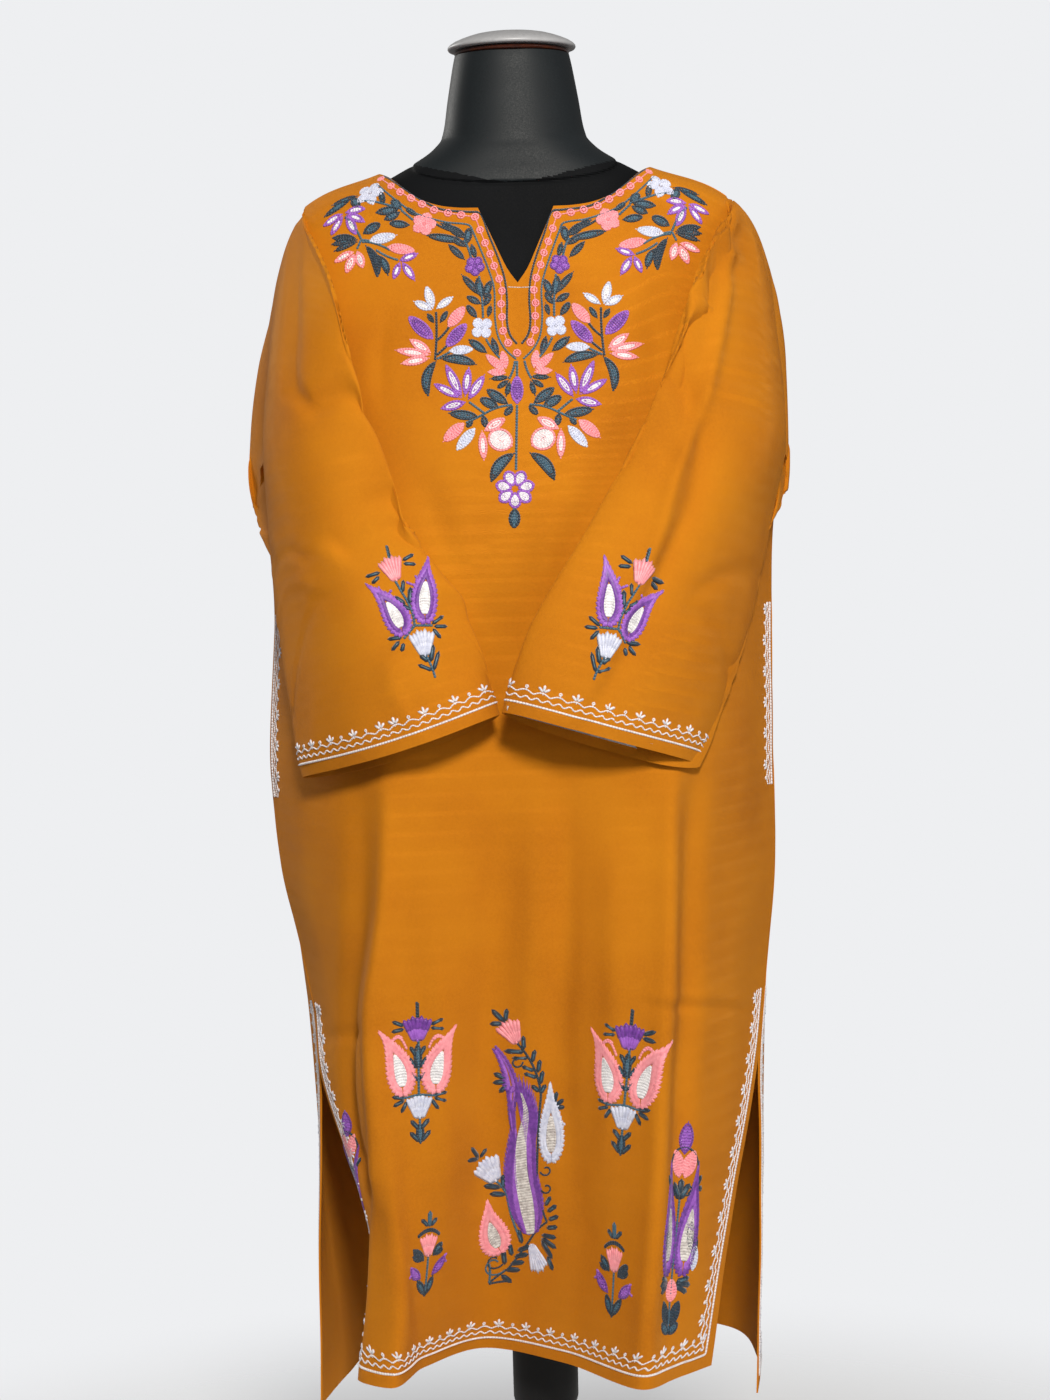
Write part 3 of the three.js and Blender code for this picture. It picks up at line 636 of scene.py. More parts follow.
    def wrapped(self, count):
        """The same closed piece with count of its columns repeated past both ends."""
        more = copy.copy(self)
        more.closed = False
        for name in ("grid", "normal", "base", "base_normal", "seen"):
            field = getattr(self, name)
            past = [field[:, -1 - count:-1], field, field[:, 1:count + 1]]
            setattr(more, name, np.concatenate(past, 1))
        around = np.zeros((len(self.flat), 1, 2))
        around[:, 0, 0] = self.flat[:, -1, 0] - self.flat[:, 0, 0]
        more.flat = np.concatenate([
            self.flat[:, -1 - count:-1] - around, self.flat, self.flat[:, 1:count + 1] + around,
        ], 1)
        return more

    def area(self):
        """Area of the outer face in square metres."""
        g = self.grid
        first = np.cross(g[1:, :-1] - g[:-1, :-1], g[1:, 1:] - g[:-1, :-1])
        second = np.cross(g[1:, 1:] - g[:-1, :-1], g[:-1, 1:] - g[:-1, :-1])
        return float((np.linalg.norm(first, axis=-1) + np.linalg.norm(second, axis=-1)).sum() / 2e6)

    def crease(self, marks):
        """Soft troughs and ridges, each along a bent line, deepest half way and fading at both ends."""
        moved = np.zeros(self.grid.shape[:2])
        for depth, width, path in marks:
            t = np.linspace(0, 1, 25)
            line = follow(np.linspace(0, 1, len(path)), path, t)
            gap = np.full(moved.shape, 1e9)
            place = np.zeros(moved.shape)
            for k in range(len(line) - 1):
                run = line[k + 1] - line[k]
                off = self.flat - line[k]
                share = np.clip((off @ run) / max(run @ run, 1e-9), 0, 1)
                far = np.hypot(off[..., 0] - share * run[0], off[..., 1] - share * run[1])
                nearer = far < gap
                gap = np.where(nearer, far, gap)
                place = np.where(nearer, t[k] + share * (t[1] - t[0]), place)
            swell = np.sin(np.pi * np.clip(place, 0.02, 0.98)) ** 0.7
            moved += depth * swell * np.exp(-(gap / width) ** 2)
        self.push(moved)

    def push(self, moved):
        """Move every point along its normal."""
        self.grid = self.grid + self.normal * moved[..., None]
        if self.closed:
            self.grid[:, -1] = self.grid[:, 0]
        self.measure()

    def sway(self, height, lengths, turn):
        """Slow unevenness of the cloth: a few waves of unlike lengths laid over each other."""
        u = self.flat[..., 0]
        v = self.flat[..., 1]
        total = np.zeros_like(u)
        for k, length in enumerate(lengths):
            a = turn + 1.9 * k
            way = u * math.cos(a) + v * math.sin(a)
            slow = np.cos(2 * math.pi * v / (2.7 * length) + k)
            total += np.sin(2 * math.pi * way / length + 2.3 * k) * slow
        edge = np.ones_like(u)
        if self.closed:
            turn_share = np.linspace(0, 1, u.shape[1])[None]
            edge = ease(turn_share / 0.1) * ease((1 - turn_share) / 0.1)
        self.push(height * total / len(lengths) * edge)

    def mesh(self, materials, wall=CLOTH_WALL):
        """A closed wall of cloth: the grid, the same grid moved in by the wall, and the rims between them."""
        grid = self.grid[:, :-1] if self.closed else self.grid
        normal = self.normal[:, :-1] if self.closed else self.normal
        rows, columns = grid.shape[:2]
        count = rows * columns
        points = np.concatenate([grid.reshape(-1, 3), (grid - normal * wall).reshape(-1, 3)])
        wide = self.grid.shape[1]
        span = columns if self.closed else columns - 1
        r = np.repeat(np.arange(rows - 1), span)
        c = np.tile(np.arange(span), rows - 1)
        top = np.arange(span)
        down = np.arange(rows - 1)

        def corners(pairs):
            """Mesh indices and flat indices of corners given as (row, column, is inner)."""
            index = np.stack([i * columns + j % columns + k * count for i, j, k in pairs], -1)
            flat = np.stack([i * wide + j for i, j, k in pairs], -1)
            return index, flat

        first = top * 0
        last = first + rows - 1
        parts = [
            corners([(r, c, 0), (r + 1, c, 0), (r + 1, c + 1, 0), (r, c + 1, 0)]),
            corners([(r, c, 1), (r, c + 1, 1), (r + 1, c + 1, 1), (r + 1, c, 1)]),
            corners([(first, top, 0), (first, top + 1, 0), (first, top + 1, 1), (first, top, 1)]),
            corners([(last, top + 1, 0), (last, top, 0), (last, top, 1), (last, top + 1, 1)]),
        ]
        if not self.closed:
            first = down * 0
            last = first + columns - 1
            parts += [
                corners([(down + 1, first, 0), (down, first, 0), (down, first, 1), (down + 1, first, 1)]),
                corners([(down, last, 0), (down + 1, last, 0), (down + 1, last, 1), (down, last, 1)]),
            ]
        faces = np.concatenate([part[0] for part in parts])
        flat = np.concatenate([part[1] for part in parts])
        if self.out < 0:
            faces = faces[:, ::-1]
            flat = flat[:, ::-1]
        uv = (self.flat.reshape(-1, 2) / 1000)[flat.ravel()]
        return put_mesh(self.name, points, faces, uv, materials, crease_degrees=50)


def picture_place(points):
    """Where points in millimetres show in the picture, in its pixels."""
    c, s = math.cos(CAMERA_PITCH), math.sin(CAMERA_PITCH)
    cr, sr = math.cos(CAMERA_ROLL), math.sin(CAMERA_ROLL)
    ray = points - np.array(CAMERA_PLACE)
    depth = ray[..., 1] * c - ray[..., 2] * s
    rise = ray[..., 1] * s + ray[..., 2] * c
    a = FOCAL_PIXELS * ray[..., 0] / depth
    b = -FOCAL_PIXELS * rise / depth
    return np.stack([PICTURE[0] / 2 + a * cr + b * sr, PICTURE[1] / 2 - a * sr + b * cr], -1)


# Materials
def linear(code):
    """An sRGB hex colour as linear red, green, blue and alpha."""
    values = [int(code[k:k + 2], 16) / 255 for k in (1, 3, 5)]
    return [v / 12.92 if v <= 0.04045 else ((v + 0.055) / 1.055) ** 2.4 for v in values] + [1.0]


class Nodes:
    """The node tree of one material or world, with a function that adds a node to it."""

    def __init__(self, owner):
        self.owner = owner
        owner.use_nodes = True
        self.tree = owner.node_tree
        self.tree.nodes.clear()

    def add(self, kind, inputs=None, stops=(), **settings):
        """A node with its settings, its inputs as values or links, and a colour ramp's stops."""
        node = self.tree.nodes.new("ShaderNode" + kind)
        for key, value in settings.items():
            setattr(node, key, value)
        for key, value in (inputs or {}).items():
            if isinstance(value, bpy.types.NodeSocket):
                self.tree.links.new(value, node.inputs[key])
            else:
                node.inputs[key].default_value = value
        for k, (place, colour) in enumerate(stops):
            held = node.color_ramp.elements
            stop = held[k] if k < len(held) else held.new(place)
            stop.position = place
            stop.color = linear(colour)
        return node

    def end(self, kind, surface):
        """Join a surface to the output, and hand over what the tree belongs to."""
        self.add(kind, {"Surface": surface})
        return self.owner


def finished(n, values):
    """A material from its tree and the values of its surface shader."""
    return n.end("OutputMaterial", n.add("BsdfPrincipled", values).outputs["BSDF"])


def wool_twill(name, light, mid, dark):
    """Soft brushed wool twill: diagonal ribs, a short nap and slow cloudy colour.

    The real ribs are about 1.1 mm apart, and are drawn RIB_SPACING apart so that they show. At scale 1
    a wave texture's bands lie 2 pi / 20 apart, and the flat places are in metres.
    """
    n = Nodes(bpy.data.materials.new(name))
    flat = n.add("UVMap", uv_map="flat").outputs["UV"]
    place = n.add("TexCoord").outputs["Object"]
    cloud = n.add("TexNoise", {"Vector": place, "Scale": 9.0, "Detail": 3.0, "Roughness": 0.55})
    nap = n.add("TexNoise", {"Vector": place, "Scale": 420.0, "Detail": 3.0, "Roughness": 0.7})
    turned = n.add("Mapping", {"Vector": flat, "Rotation": (0, 0, math.radians(33))})
    rib = n.add("TexWave", {
        "Vector": turned.outputs["Vector"],
        "Scale": 2 * math.pi / RIB_SPACING * 1000 / 20,
        "Distortion": 1.2,
        "Detail": 2.0,
        "Detail Scale": 1.4,
    }, wave_type="BANDS", bands_direction="Y")
    drawn_out = n.add("Mapping", {"Vector": flat, "Scale": (900.0, 60.0, 1.0)})
    slub = n.add("TexNoise", {"Vector": drawn_out.outputs["Vector"], "Scale": 1.0, "Detail": 2.0})
    tone = n.add("Mix", {"Factor": 0.3, "A": cloud.outputs["Fac"], "B": nap.outputs["Fac"]})
    colour = n.add(
        "ValToRGB", {"Fac": tone.outputs["Result"]}, [(0.3, dark), (0.5, mid), (0.72, light)]
    ).outputs["Color"]
    for pattern, share, low, high in ((rib, 0.22, 0.0, 1.0), (slub, 0.08, 0.35, 0.65)):
        over = n.add("ValToRGB", {"Fac": pattern.outputs["Fac"]}, [(low, dark), (high, light)])
        both = n.add("Mix", {"Factor": share, "A": colour, "B": over.outputs["Color"]}, data_type="RGBA")
        colour = both.outputs["Result"]
    heights = n.add("Math", {0: rib.outputs["Fac"], 1: nap.outputs["Fac"]}, operation="ADD").outputs[0]
    raised = n.add("Bump", {"Strength": 0.35, "Distance": 0.0007, "Height": heights})
    return finished(n, {
        "Base Color": colour,
        "Roughness": 0.82,
        "Specular IOR Level": 0.22,
        "Sheen Weight": 0.15,
        "Sheen Roughness": 0.45,
        "Sheen Tint": linear("#f2b45c"),
        "Normal": raised.outputs["Normal"],
    })


def plain_finish(name, colour, second, roughness, metallic=0.0, grain=600.0, bump=0.1, shine=0.5):
    """A finish with a fine grain in its colour, roughness and surface, in Object coordinates."""
    n = Nodes(bpy.data.materials.new(name))
    place = n.add("TexCoord").outputs["Object"]
    grains = n.add("TexNoise", {"Vector": place, "Scale": grain, "Detail": 3.0, "Roughness": 0.6})
    fine = grains.outputs["Fac"]
    slow = n.add("TexNoise", {"Vector": place, "Scale": 14.0, "Detail": 2.0})
    blend = n.add("Mix", {"Factor": 0.5, "A": slow.outputs["Fac"], "B": fine}).outputs["Result"]
    base = n.add("ValToRGB", {"Fac": blend}, [(0.35, colour), (0.65, second)])
    rough = n.add("MapRange", {
        "Value": fine,
        "From Min": 0.3,
        "From Max": 0.7,
        "To Min": roughness * 0.85,
        "To Max": min(1.0, roughness * 1.15),
    })
    raised = n.add("Bump", {"Strength": bump, "Distance": 0.0005, "Height": fine})
    return finished(n, {
        "Base Color": base.outputs["Color"],
        "Roughness": rough.outputs["Result"],
        "Metallic": metallic,
        "Specular IOR Level": shine,
        "Normal": raised.outputs["Normal"],
    })


def thread_finish(name, colour, shade, roughness=0.42):
    """Twisted rayon thread: a soft gloss, and a slow change of shade from stitch to stitch."""
    n = Nodes(bpy.data.materials.new(name))
    place = n.add("TexCoord").outputs["Object"]
    worn = n.add("TexNoise", {"Vector": place, "Scale": 260.0, "Detail": 2.0, "Roughness": 0.6})
    ply = n.add("TexNoise", {"Vector": place, "Scale": 1800.0, "Detail": 1.0})
    base = n.add("ValToRGB", {"Fac": worn.outputs["Fac"]}, [(0.3, shade), (0.62, colour)])
    raised = n.add("Bump", {"Strength": 0.35, "Distance": 0.0002, "Height": ply.outputs["Fac"]})
    return finished(n, {
        "Base Color": base.outputs["Color"],
        "Roughness": roughness,
        "Sheen Weight": 0.25,
        "Normal": raised.outputs["Normal"],
    })


# Brushed wool twill in mustard: soft, matt, with a warm nap that lightens toward its edges
WOOL = wool_twill("wool_twill_mustard", "#d8870d", "#cb7908", "#b56604")
# Black stretch jersey over a padded form: matt, slightly grey where light grazes it
JERSEY = plain_finish("black_jersey", "#07080a", "#0d0f12", 0.8, grain=1500.0, bump=0.25, shine=0.15)
# Black fibreglass neck block in a satin paint: smoother than the jersey, with a dull grey gleam
NECK_BLOCK = plain_finish("satin_black_paint", "#171b1e", "#1d2225", 0.55, grain=900.0, bump=0.06, shine=0.22)
# Dark wood under clear lacquer: red-brown, with sharp bright reflections on its rim
LACQUER = plain_finish("lacquered_dark_wood", "#2a120c", "#4b2213", 0.16, grain=120.0, bump=0.03)
# Spun steel cap in a satin silver paint: light grey, with broad soft reflections
CAP_METAL = plain_finish("satin_steel", "#a2a3a6", "#b0b1b4", 0.45, metallic=0.1, grain=300.0, bump=0.03)
# Black powder-coated steel: an even black with a faint orange-peel grain
BASE_METAL = plain_finish("powder_coated_steel", "#0d0d0d", "#151617", 0.5, grain=900.0, bump=0.1, shine=0.25)
# Brushed steel tube: bright bare metal that mirrors the room softly
POLE_METAL = plain_finish("brushed_steel", "#9a9c9e", "#b0b2b4", 0.28, metallic=1.0, grain=500.0, bump=0.03)
# Plain-woven lining cotton in the same mustard: matt, with a fine grain
POCKET_CLOTH = plain_finish("lining_cotton_mustard", "#b4690f", "#c57812", 0.85, grain=1100.0, bump=0.3)
# Rayon embroidery threads by their place in the list: a soft gloss that lights one side of each stitch
PINK, LILAC, PURPLE, ORCHID, TEAL, DARK, SILVER, WHITE, CORE = range(9)
THREADS = [
    thread_finish("thread_coral_pink", "#fca3ab", "#f08b95"),
    thread_finish("thread_lilac_white", "#dcdff0", "#bfc4dc"),
    thread_finish("thread_purple", "#7d3fa6", "#5d2b86"),
    thread_finish("thread_orchid", "#a765cf", "#8a4bb2"),
    thread_finish("thread_slate_teal", "#43697e", "#2f5367"),
    thread_finish("thread_dark_teal", "#22384a", "#14242f"),
    thread_finish("thread_silver_white", "#f4f2f3", "#d9d6da"),
    thread_finish("thread_border_white", "#f2eef0", "#dbd5d9"),
    thread_finish("thread_silver_bead", "#e4dfda", "#b4aba8", roughness=0.3),
]


# The cloth
def make_panel(name, front):
    """The front or back, its flat places counted from its middle at the underarm."""
    grid, shares = panel_points(front)
    level = int(np.argmin(np.abs(grid[:, len(shares) // 2, 2] - UNDERARM_HEIGHT)))
    return Cloth(name, grid, len(shares) // 2, level, out=1 if front else -1)


FRONT = make_panel("front_cloth", True)
BACK = make_panel("back_cloth", False)


def make_sleeve(name, side, sections):
    """A sleeve, its flat places counted from its top line at the armhole."""
    return Cloth(name, sleeve_points(side, sections), 0, 0, out=1 if side < 0 else -1, closed=True)


LEFT = make_sleeve("sleeve_left_cloth", -1, LEFT_SLEEVE)
RIGHT = make_sleeve("sleeve_right_cloth", 1, RIGHT_SLEEVE)


def fold(cloth, rows):
    """Crease a piece where it shows in the picture: rise, width, line in pixels, and a shift sideways."""
    cloth.crease([
        (rise, width, cloth.flat_at(np.array(line, float) + np.array([sum(shift), 0])))
        for rise, width, line, *shift in rows
    ])


# Folds of the skirt: long noses with a hollow beside each, soft valleys between, and pressed lines across
NOSE_LEFT = [(386, 768), (384, 882), (377, 955), (370, 1018), (375, 1130), (370, 1245), (357, 1370)]
NOSE_RIGHT = [(675, 759), (670, 836), (666, 1018), (661, 1109), (650, 1291), (645, 1385)]
fold(FRONT, [
    (8.0, 9, NOSE_LEFT),
    (-10.0, 15, NOSE_LEFT, -24),
    (-2.6, 18, NOSE_LEFT, 30),
    (8.0, 9, NOSE_RIGHT),
    (-10.0, 15, NOSE_RIGHT, 24),
    (-2.6, 17, NOSE_RIGHT, -28),
    (-8.5, 20, [(505, 800), (497, 900), (490, 1000), (487, 1100), (483, 1220)]),
    (-6.8, 15, [(566, 760), (568, 836), (566, 930), (560, 1040), (567, 1150), (575, 1260)]),
    (4.6, 15, [(535, 790), (533, 900), (528, 1010), (520, 1130)]),
    (4.0, 15, [(432, 800), (428, 920), (440, 1040), (446, 1160), (440, 1280)]),
    (-4.6, 13, [(405, 1120), (412, 1200), (418, 1290), (421, 1370)]),
    (3.8, 14, [(610, 820), (614, 930), (612, 1060), (600, 1190)]),
    (2.2, 11, [(402, 1230), (402, 1300), (400, 1370)]),
    (-2.4, 6, [(322, 1041), (345, 1035), (366, 1028)]),
    (-2.4, 6, [(640, 1003), (690, 1007), (752, 1014)]),
    (1.6, 6, [(640, 995), (690, 999), (748, 1005)]),
    (-3.0, 13, [(420, 470), (438, 520), (462, 580), (480, 630)]),
    (-3.0, 12, [(600, 470), (585, 520), (560, 580), (545, 640)]),
    (2.4, 14, [(545, 500), (548, 570), (535, 650)]),
    (-2.2, 14, [(480, 500), (482, 580), (492, 650)]),
    (-1.6, 9, [(395, 300), (380, 350), (383, 410)]),
    (-1.6, 9, [(640, 300), (655, 340), (650, 400)]),
])
FRONT.sway(1.1, (310, 190, 120), 0.4)
SLEEVE_LINE_LEFT = [
    (300, 205), (311, 314), (323, 406), (336, 468), (355, 545), (367, 591), (394, 660), (422, 740),
]
fold(LEFT, [
    (6.5, 8, SLEEVE_LINE_LEFT),
    (-7.0, 11, SLEEVE_LINE_LEFT, -17),
    (-2.2, 20, SLEEVE_LINE_LEFT, 26),
    (-1.8, 4.5, [(283, 606), (320, 598), (358, 588)]),
    (1.2, 4, [(283, 598), (320, 590), (356, 580)]),
    (-1.8, 4.5, [(301, 695), (340, 682), (378, 666)]),
    (-2.0, 11, [(262, 470), (282, 540), (300, 610)]),
    (1.6, 12, [(350, 330), (366, 400), (400, 480)]),
])
LEFT.sway(0.9, (170, 105, 70), 0.9)
SLEEVE_LINE_RIGHT = [(733, 205), (731, 260), (715, 352), (685, 452), (654, 552), (615, 641), (570, 725)]
fold(RIGHT, [
    (6.5, 8, SLEEVE_LINE_RIGHT),
    (-7.5, 12, SLEEVE_LINE_RIGHT, 19),
    (-5.0, 12, [(688, 352), (672, 400), (640, 450), (608, 498)]),
    (-2.0, 18, SLEEVE_LINE_RIGHT, -28),
    (2.0, 9, [(700, 500), (672, 570), (640, 640)]),
    (-2.2, 10, [(715, 520), (690, 600), (655, 690)]),
    (1.6, 5, [(704, 178), (716, 186), (728, 198)]),
    (-1.6, 5, [(698, 188), (708, 200), (716, 216)]),
    (-1.4, 5, [(745, 620), (715, 640), (690, 668)]),
])
RIGHT.sway(0.9, (160, 110, 75), 2.1)
# The back, unseen: the same kind of long folds, none alike
BACK.crease([
    (3.0, 18, [(-60, -20), (-66, -250), (-58, -500), (-64, -780)]),
    (-4.5, 24, [(10, 120), (4, -140), (-6, -420), (2, -760)]),
    (3.4, 16, [(84, -90), (92, -330), (85, -600)]),
    (-3.6, 20, [(130, 40), (138, -180), (126, -420)]),
    (-3.0, 18, [(-120, 60), (-126, -200), (-118, -520)]),
    (2.4, 14, [(-160, -60), (-168, -260), (-160, -430)]),
    (-1.8, 12, [(40, 240), (52, 160), (70, 90)]),
    (-1.8, 12, [(-44, 236), (-58, 150), (-72, 80)]),
    (-2.0, 7, [(-180, -470), (-120, -478), (-60, -472)]),
    (-1.8, 7, [(70, -450), (130, -458), (185, -448)]),
])
BACK.sway(1.3, (330, 210, 130), 1.7)


# The embroidery
MM_PER_PIXEL = 0.875
STITCH_RISE = 0.95
STITCH_SINK = -0.25
STITCH_OVERLAP = 1.45


def chain(points, thread, wide=2.5, pitch=2.6, high=1.0):
    """Rows of x, y, angle, length, width, height and thread: chain stitches laid end to end along a line."""
    points = np.asarray(points, float)
    walked = along(points)
    count = max(1, int(round(walked[-1] / pitch)))
    line = between(np.linspace(0, walked[-1], count + 1), walked, points)
    stitches = long_stitch(line[:-1], line[1:], thread, wide, high)
    stitches[:, 3] *= STITCH_OVERLAP
    return stitches


def long_stitch(starts, ends, thread, wide, high=1.0):
    """One long stitch from each start to its end."""
    run = ends - starts
    rest = np.ones(len(starts))
    middle = (starts + ends) / 2
    return np.stack([
        middle[:, 0], middle[:, 1], np.arctan2(run[:, 1], run[:, 0]),
        np.linalg.norm(run, axis=1), rest * wide, rest * high, rest * thread,
    ], -1)


def axes(base, tip):
    """Where a shape starts, its way, the way to its left, and its length."""
    run = tip - base
    length = max(np.linalg.norm(run), 1e-6)
    run = run / length
    return base, run, np.array([-run[1], run[0]]), length


def bowed(base, run, side, length, t, bow):
    """Points at shares t of a shape's length, on a line that bows to its left by bow."""
    return base + run * (t * length)[:, None] + side * (bow * 4 * t * (1 - t))[:, None]


def ground(spine, side, half, thread, high=0.6, pitch=2.1, wide=3.4):
    """Stitches laid across a shape, half to each side of its spine, under its rows."""
    walked = along(spine)
    place = np.arange(pitch / 2, walked[-1], pitch)
    reach = np.interp(place, walked, half)
    keep = reach > 0.5
    middle = between(place, walked, spine)[keep]
    out = (between(place, walked, side) * np.maximum(reach - 0.2, 0.5)[:, None])[keep]
    return long_stitch(middle - out, middle + out, thread, wide, high)


def petal(base, tip, width, threads, point=0.8, belly=0.95, bend=0.0):
    """Rows of chain stitch, each inside the last, about a spine that bows by bend times its length.

    Half its width is the sine of its length, to a power; the last row is the spine.
    """
    base, run, side, length = axes(base, tip)
    t = np.linspace(0, 1, 26)
    half = width / 2 * np.abs(np.sin(math.pi * t ** belly)) ** point
    spine = lambda shares: bowed(base, run, side, length, shares, bend * length)

    def ring(scale):
        """The outline shrunk toward the middle of its length and toward its spine."""
        s = 0.5 + (t - 0.5) * min(1.0, scale + 0.25 * (1 - scale))
        out = side * (half * scale)[:, None]
        return np.concatenate([spine(s) + out, (spine(s) - out)[::-1]])

    parts = [ground(spine(t), np.broadcast_to(side, (26, 2)), half, threads[0])]
    parts.append(chain(ring(max(0.1, 1 - 0.9 / (width / 2))), threads[0], wide=3.3, high=1.15))
    for inset in np.arange(2.7 if threads[0] != threads[-1] else 2.2, width / 2 * 0.85, 1.4):
        parts.append(chain(ring(1 - inset / (width / 2)), threads[-1], wide=2.7, high=1.1))
    parts.append(chain(ring(0.02)[3:23], threads[-1] if width > 4 else threads[0], wide=2.7, high=1.25))
    return np.concatenate(parts)


def leaf(base, tip, width, threads, bend=0.0):
    """A broad petal with a sharp tip."""
    return petal(base, tip, width * 1.45, threads, point=0.6, belly=1.0, bend=bend)


def bud(base, tip, width, threads):
    """A slim petal with a sharp tip."""
    return petal(base, tip, width, threads, point=0.6, belly=0.9)


def stem(base, tip, bow, threads):
    """A line of chain stitches, bowed to the left of its way by bow."""
    return chain(bowed(*axes(base, tip), np.linspace(0, 1, 16), bow), threads[0], wide=3.6)


def stroke(base, tip, width, threads):
    """A small leaf of one fat stitch, with a thinner one over it."""
    base = base[None]
    tip = tip[None]
    return np.concatenate([
        long_stitch(mix(base, tip, -0.06), mix(base, tip, 1.04), threads[0], width * 1.65),
        long_stitch(mix(base, tip, 0.12), mix(base, tip, 0.8), threads[-1], width * 0.85, 1.35),
    ])


def fan(base, tip, width, threads, ribs=7):
    """A tulip: ribs of long stitches that spread from its base, the middle ones longest."""
    base, run, side, length = axes(base, tip)
    share = np.linspace(-1, 1, ribs)
    foot = base + side * (share * width * 0.12)[:, None]
    reach = length * (1 - 0.16 * share ** 2 + 0.03 * (-1.0) ** np.arange(ribs))
    head = base + run * reach[:, None] + side * (share * width * 0.45)[:, None]
    rib = width / ribs
    return np.concatenate([
        long_stitch(mix(foot, head, 0.32), mix(foot, head, 1.03), threads[0], rib * 1.9, 1.15),
        long_stitch(mix(foot, head, -0.08), mix(foot, head, 0.7), threads[-1], rib * 1.6, 1.0),
        stem(base - run, base + run * length * 0.2, 0, [threads[-1]]),
    ])


def feather(spine, half, core, threads, pitch=1.5, lean=0.5):
    """Long stitches from a core to a toothed outline, spread round the low end and swept toward the tip.

    The outline lies half to each side of the spine; the stitches are spaced evenly along the outline.
    """
    t = np.linspace(0, 1, len(spine))
    run = unit(np.gradient(spine, axis=0))
    side = np.stack([-run[:, 1], run[:, 0]], -1)
    inside = core > 0.3
    low = float(t[inside][0]) if inside.any() else 0.0
    parts = []
    for way in (-1, 1):
        outline = spine + side * way * half[:, None]
        outline[0] = spine[0]
        walked = along(outline)
        count = max(5, int(walked[-1] / pitch))
        place = (np.arange(count) + (0.25 if way > 0 else 0.75)) / count * walked[-1]
        share = low + lean * np.interp(place, walked, t)
        out = between(share, t, side) * way * np.interp(share, t, core)[:, None]
        foot = between(share, t, spine) + out * 0.85
        tooth = np.array([0.9, 1.0, 1.07])[np.arange(count) % 3][:, None]
        head = foot + (between(place, walked, outline) - foot) * tooth
        parts.append(long_stitch(foot, mix(foot, head, 0.72), threads[1], pitch * 2.2, 0.95))
        parts.append(long_stitch(mix(foot, head, 0.36), head, threads[0], pitch * 2.1, 1.2))
    if inside.any():
        deep = core.max()
        parts.append(ground(spine[inside], side[inside], core[inside], threads[2], high=1.0))
        for inset in np.arange(0.5, deep, 1.4):
            out = side[inside] * core[inside, None] * (1 - inset / deep)
            ring = np.concatenate([spine[inside] + out, (spine[inside] - out)[::-1]])
            parts.append(chain(ring, threads[2], wide=2.7, high=1.3))
        parts.append(chain(spine[inside], threads[2], wide=2.8, high=1.4))
    return np.concatenate(parts)


def paisley(base, tip, width, threads, bend=0.0, heart=0.4):
    """A drop, round below and drawn out to a tip, feathered round a core; bend bows its spine.

    Half its width is a circle's up to three tenths of its length, then a cosine's down to the tip.
    """
    line = axes(base, tip)
    t = np.linspace(0, 1, 60)
    round_end = np.sqrt(np.clip(1 - (1 - t / 0.3) ** 2, 0, 1))
    taper = (0.5 + 0.5 * np.cos(math.pi * (t - 0.3) / 0.7)) ** 0.8
    half = width / 2 * np.where(t < 0.3, round_end, taper) + 0.35
    core = heart * width / 2 * np.sin(math.pi * np.clip((t - 0.14) / 0.46, 0, 1) ** 0.7) ** 0.8
    return feather(bowed(*line, t, bend * line[3]), half, core, threads)


def lock(base, tip, width, threads, bend=0.0):
    """A tapering curved lock of feather stitch with no core."""
    line = axes(base, tip)
    t = np.linspace(0, 1, 30)
    half = width / 2 * (1 - 0.8 * t) * np.clip(t * 6 + 0.4, 0, 1)
    return feather(bowed(*line, t, bend * line[3]), half, t * 0, threads, lean=0.85)


def hook(base, tip, bow, threads):
    """A crook of two rows side by side, bowed to the left of its way by bow."""
    base, run, side, length = axes(base, tip)
    t = np.linspace(0, 1, 18)
    line = base + run * (t * length)[:, None] + side * (bow * np.sin(math.pi * t ** 0.8))[:, None]
    return np.concatenate([
        chain(line, threads[0], wide=3.6),
        chain(line[:12] + side * 1.4, threads[-1], wide=3.2),
    ])


def curl(base, tip, turn, threads):
    """A small scroll: a line that winds in on itself; turn is 1 or -1 for its way round."""
    base, run, side, length = axes(base, tip)
    t = np.linspace(0, 1, 26)
    around = t * 1.6 * math.pi
    reach = length * 0.5 * (1 - 0.62 * t)
    hub = base + run * length * 0.5
    line = hub - run * (reach * np.cos(around))[:, None] + side * turn * (reach * np.sin(around))[:, None]
    return chain(line, threads[0], wide=2.8)


def blossom(centre, first, width, threads, petals=5):
    """Round petals about a centre; the first points toward its tip."""
    centre, run, side, length = axes(centre, first)
    parts = []
    for k in range(petals):
        a = 2 * math.pi * k / petals
        way = run * math.cos(a) + side * math.sin(a)
        foot = centre + way * length * 0.1
        parts.append(petal(foot, centre + way * length * 1.08, width * 1.15, threads[:2], 0.55, 1.2))
    eye = centre + circle(np.linspace(0, 2 * math.pi, 8))
    parts.append(chain(eye, threads[-1], wide=1.8, pitch=1.6, high=1.5))
    return np.concatenate(parts)


def bead(centre, thread):
    """A knot of chain stitch wound round into a disc."""
    wound = circle(np.linspace(0, 2 * math.pi, 13))
    return np.concatenate([
        chain(centre + wound * 3.2, thread, wide=2.8, pitch=2.8, high=1.35),
        chain(centre + wound[::3] * 1.2, thread, wide=2.6, pitch=1.9, high=1.75),
    ])


def small_bead(centre):
    """One turn of small white stitches."""
    return chain(centre + circle(np.linspace(0, 2 * math.pi, 7)) * 1.3, WHITE, wide=2.0, pitch=1.6, high=1.2)


# Shapes whose one number is a bow or a turn to their left, and not a width
BOWED = (stem, curl, hook)


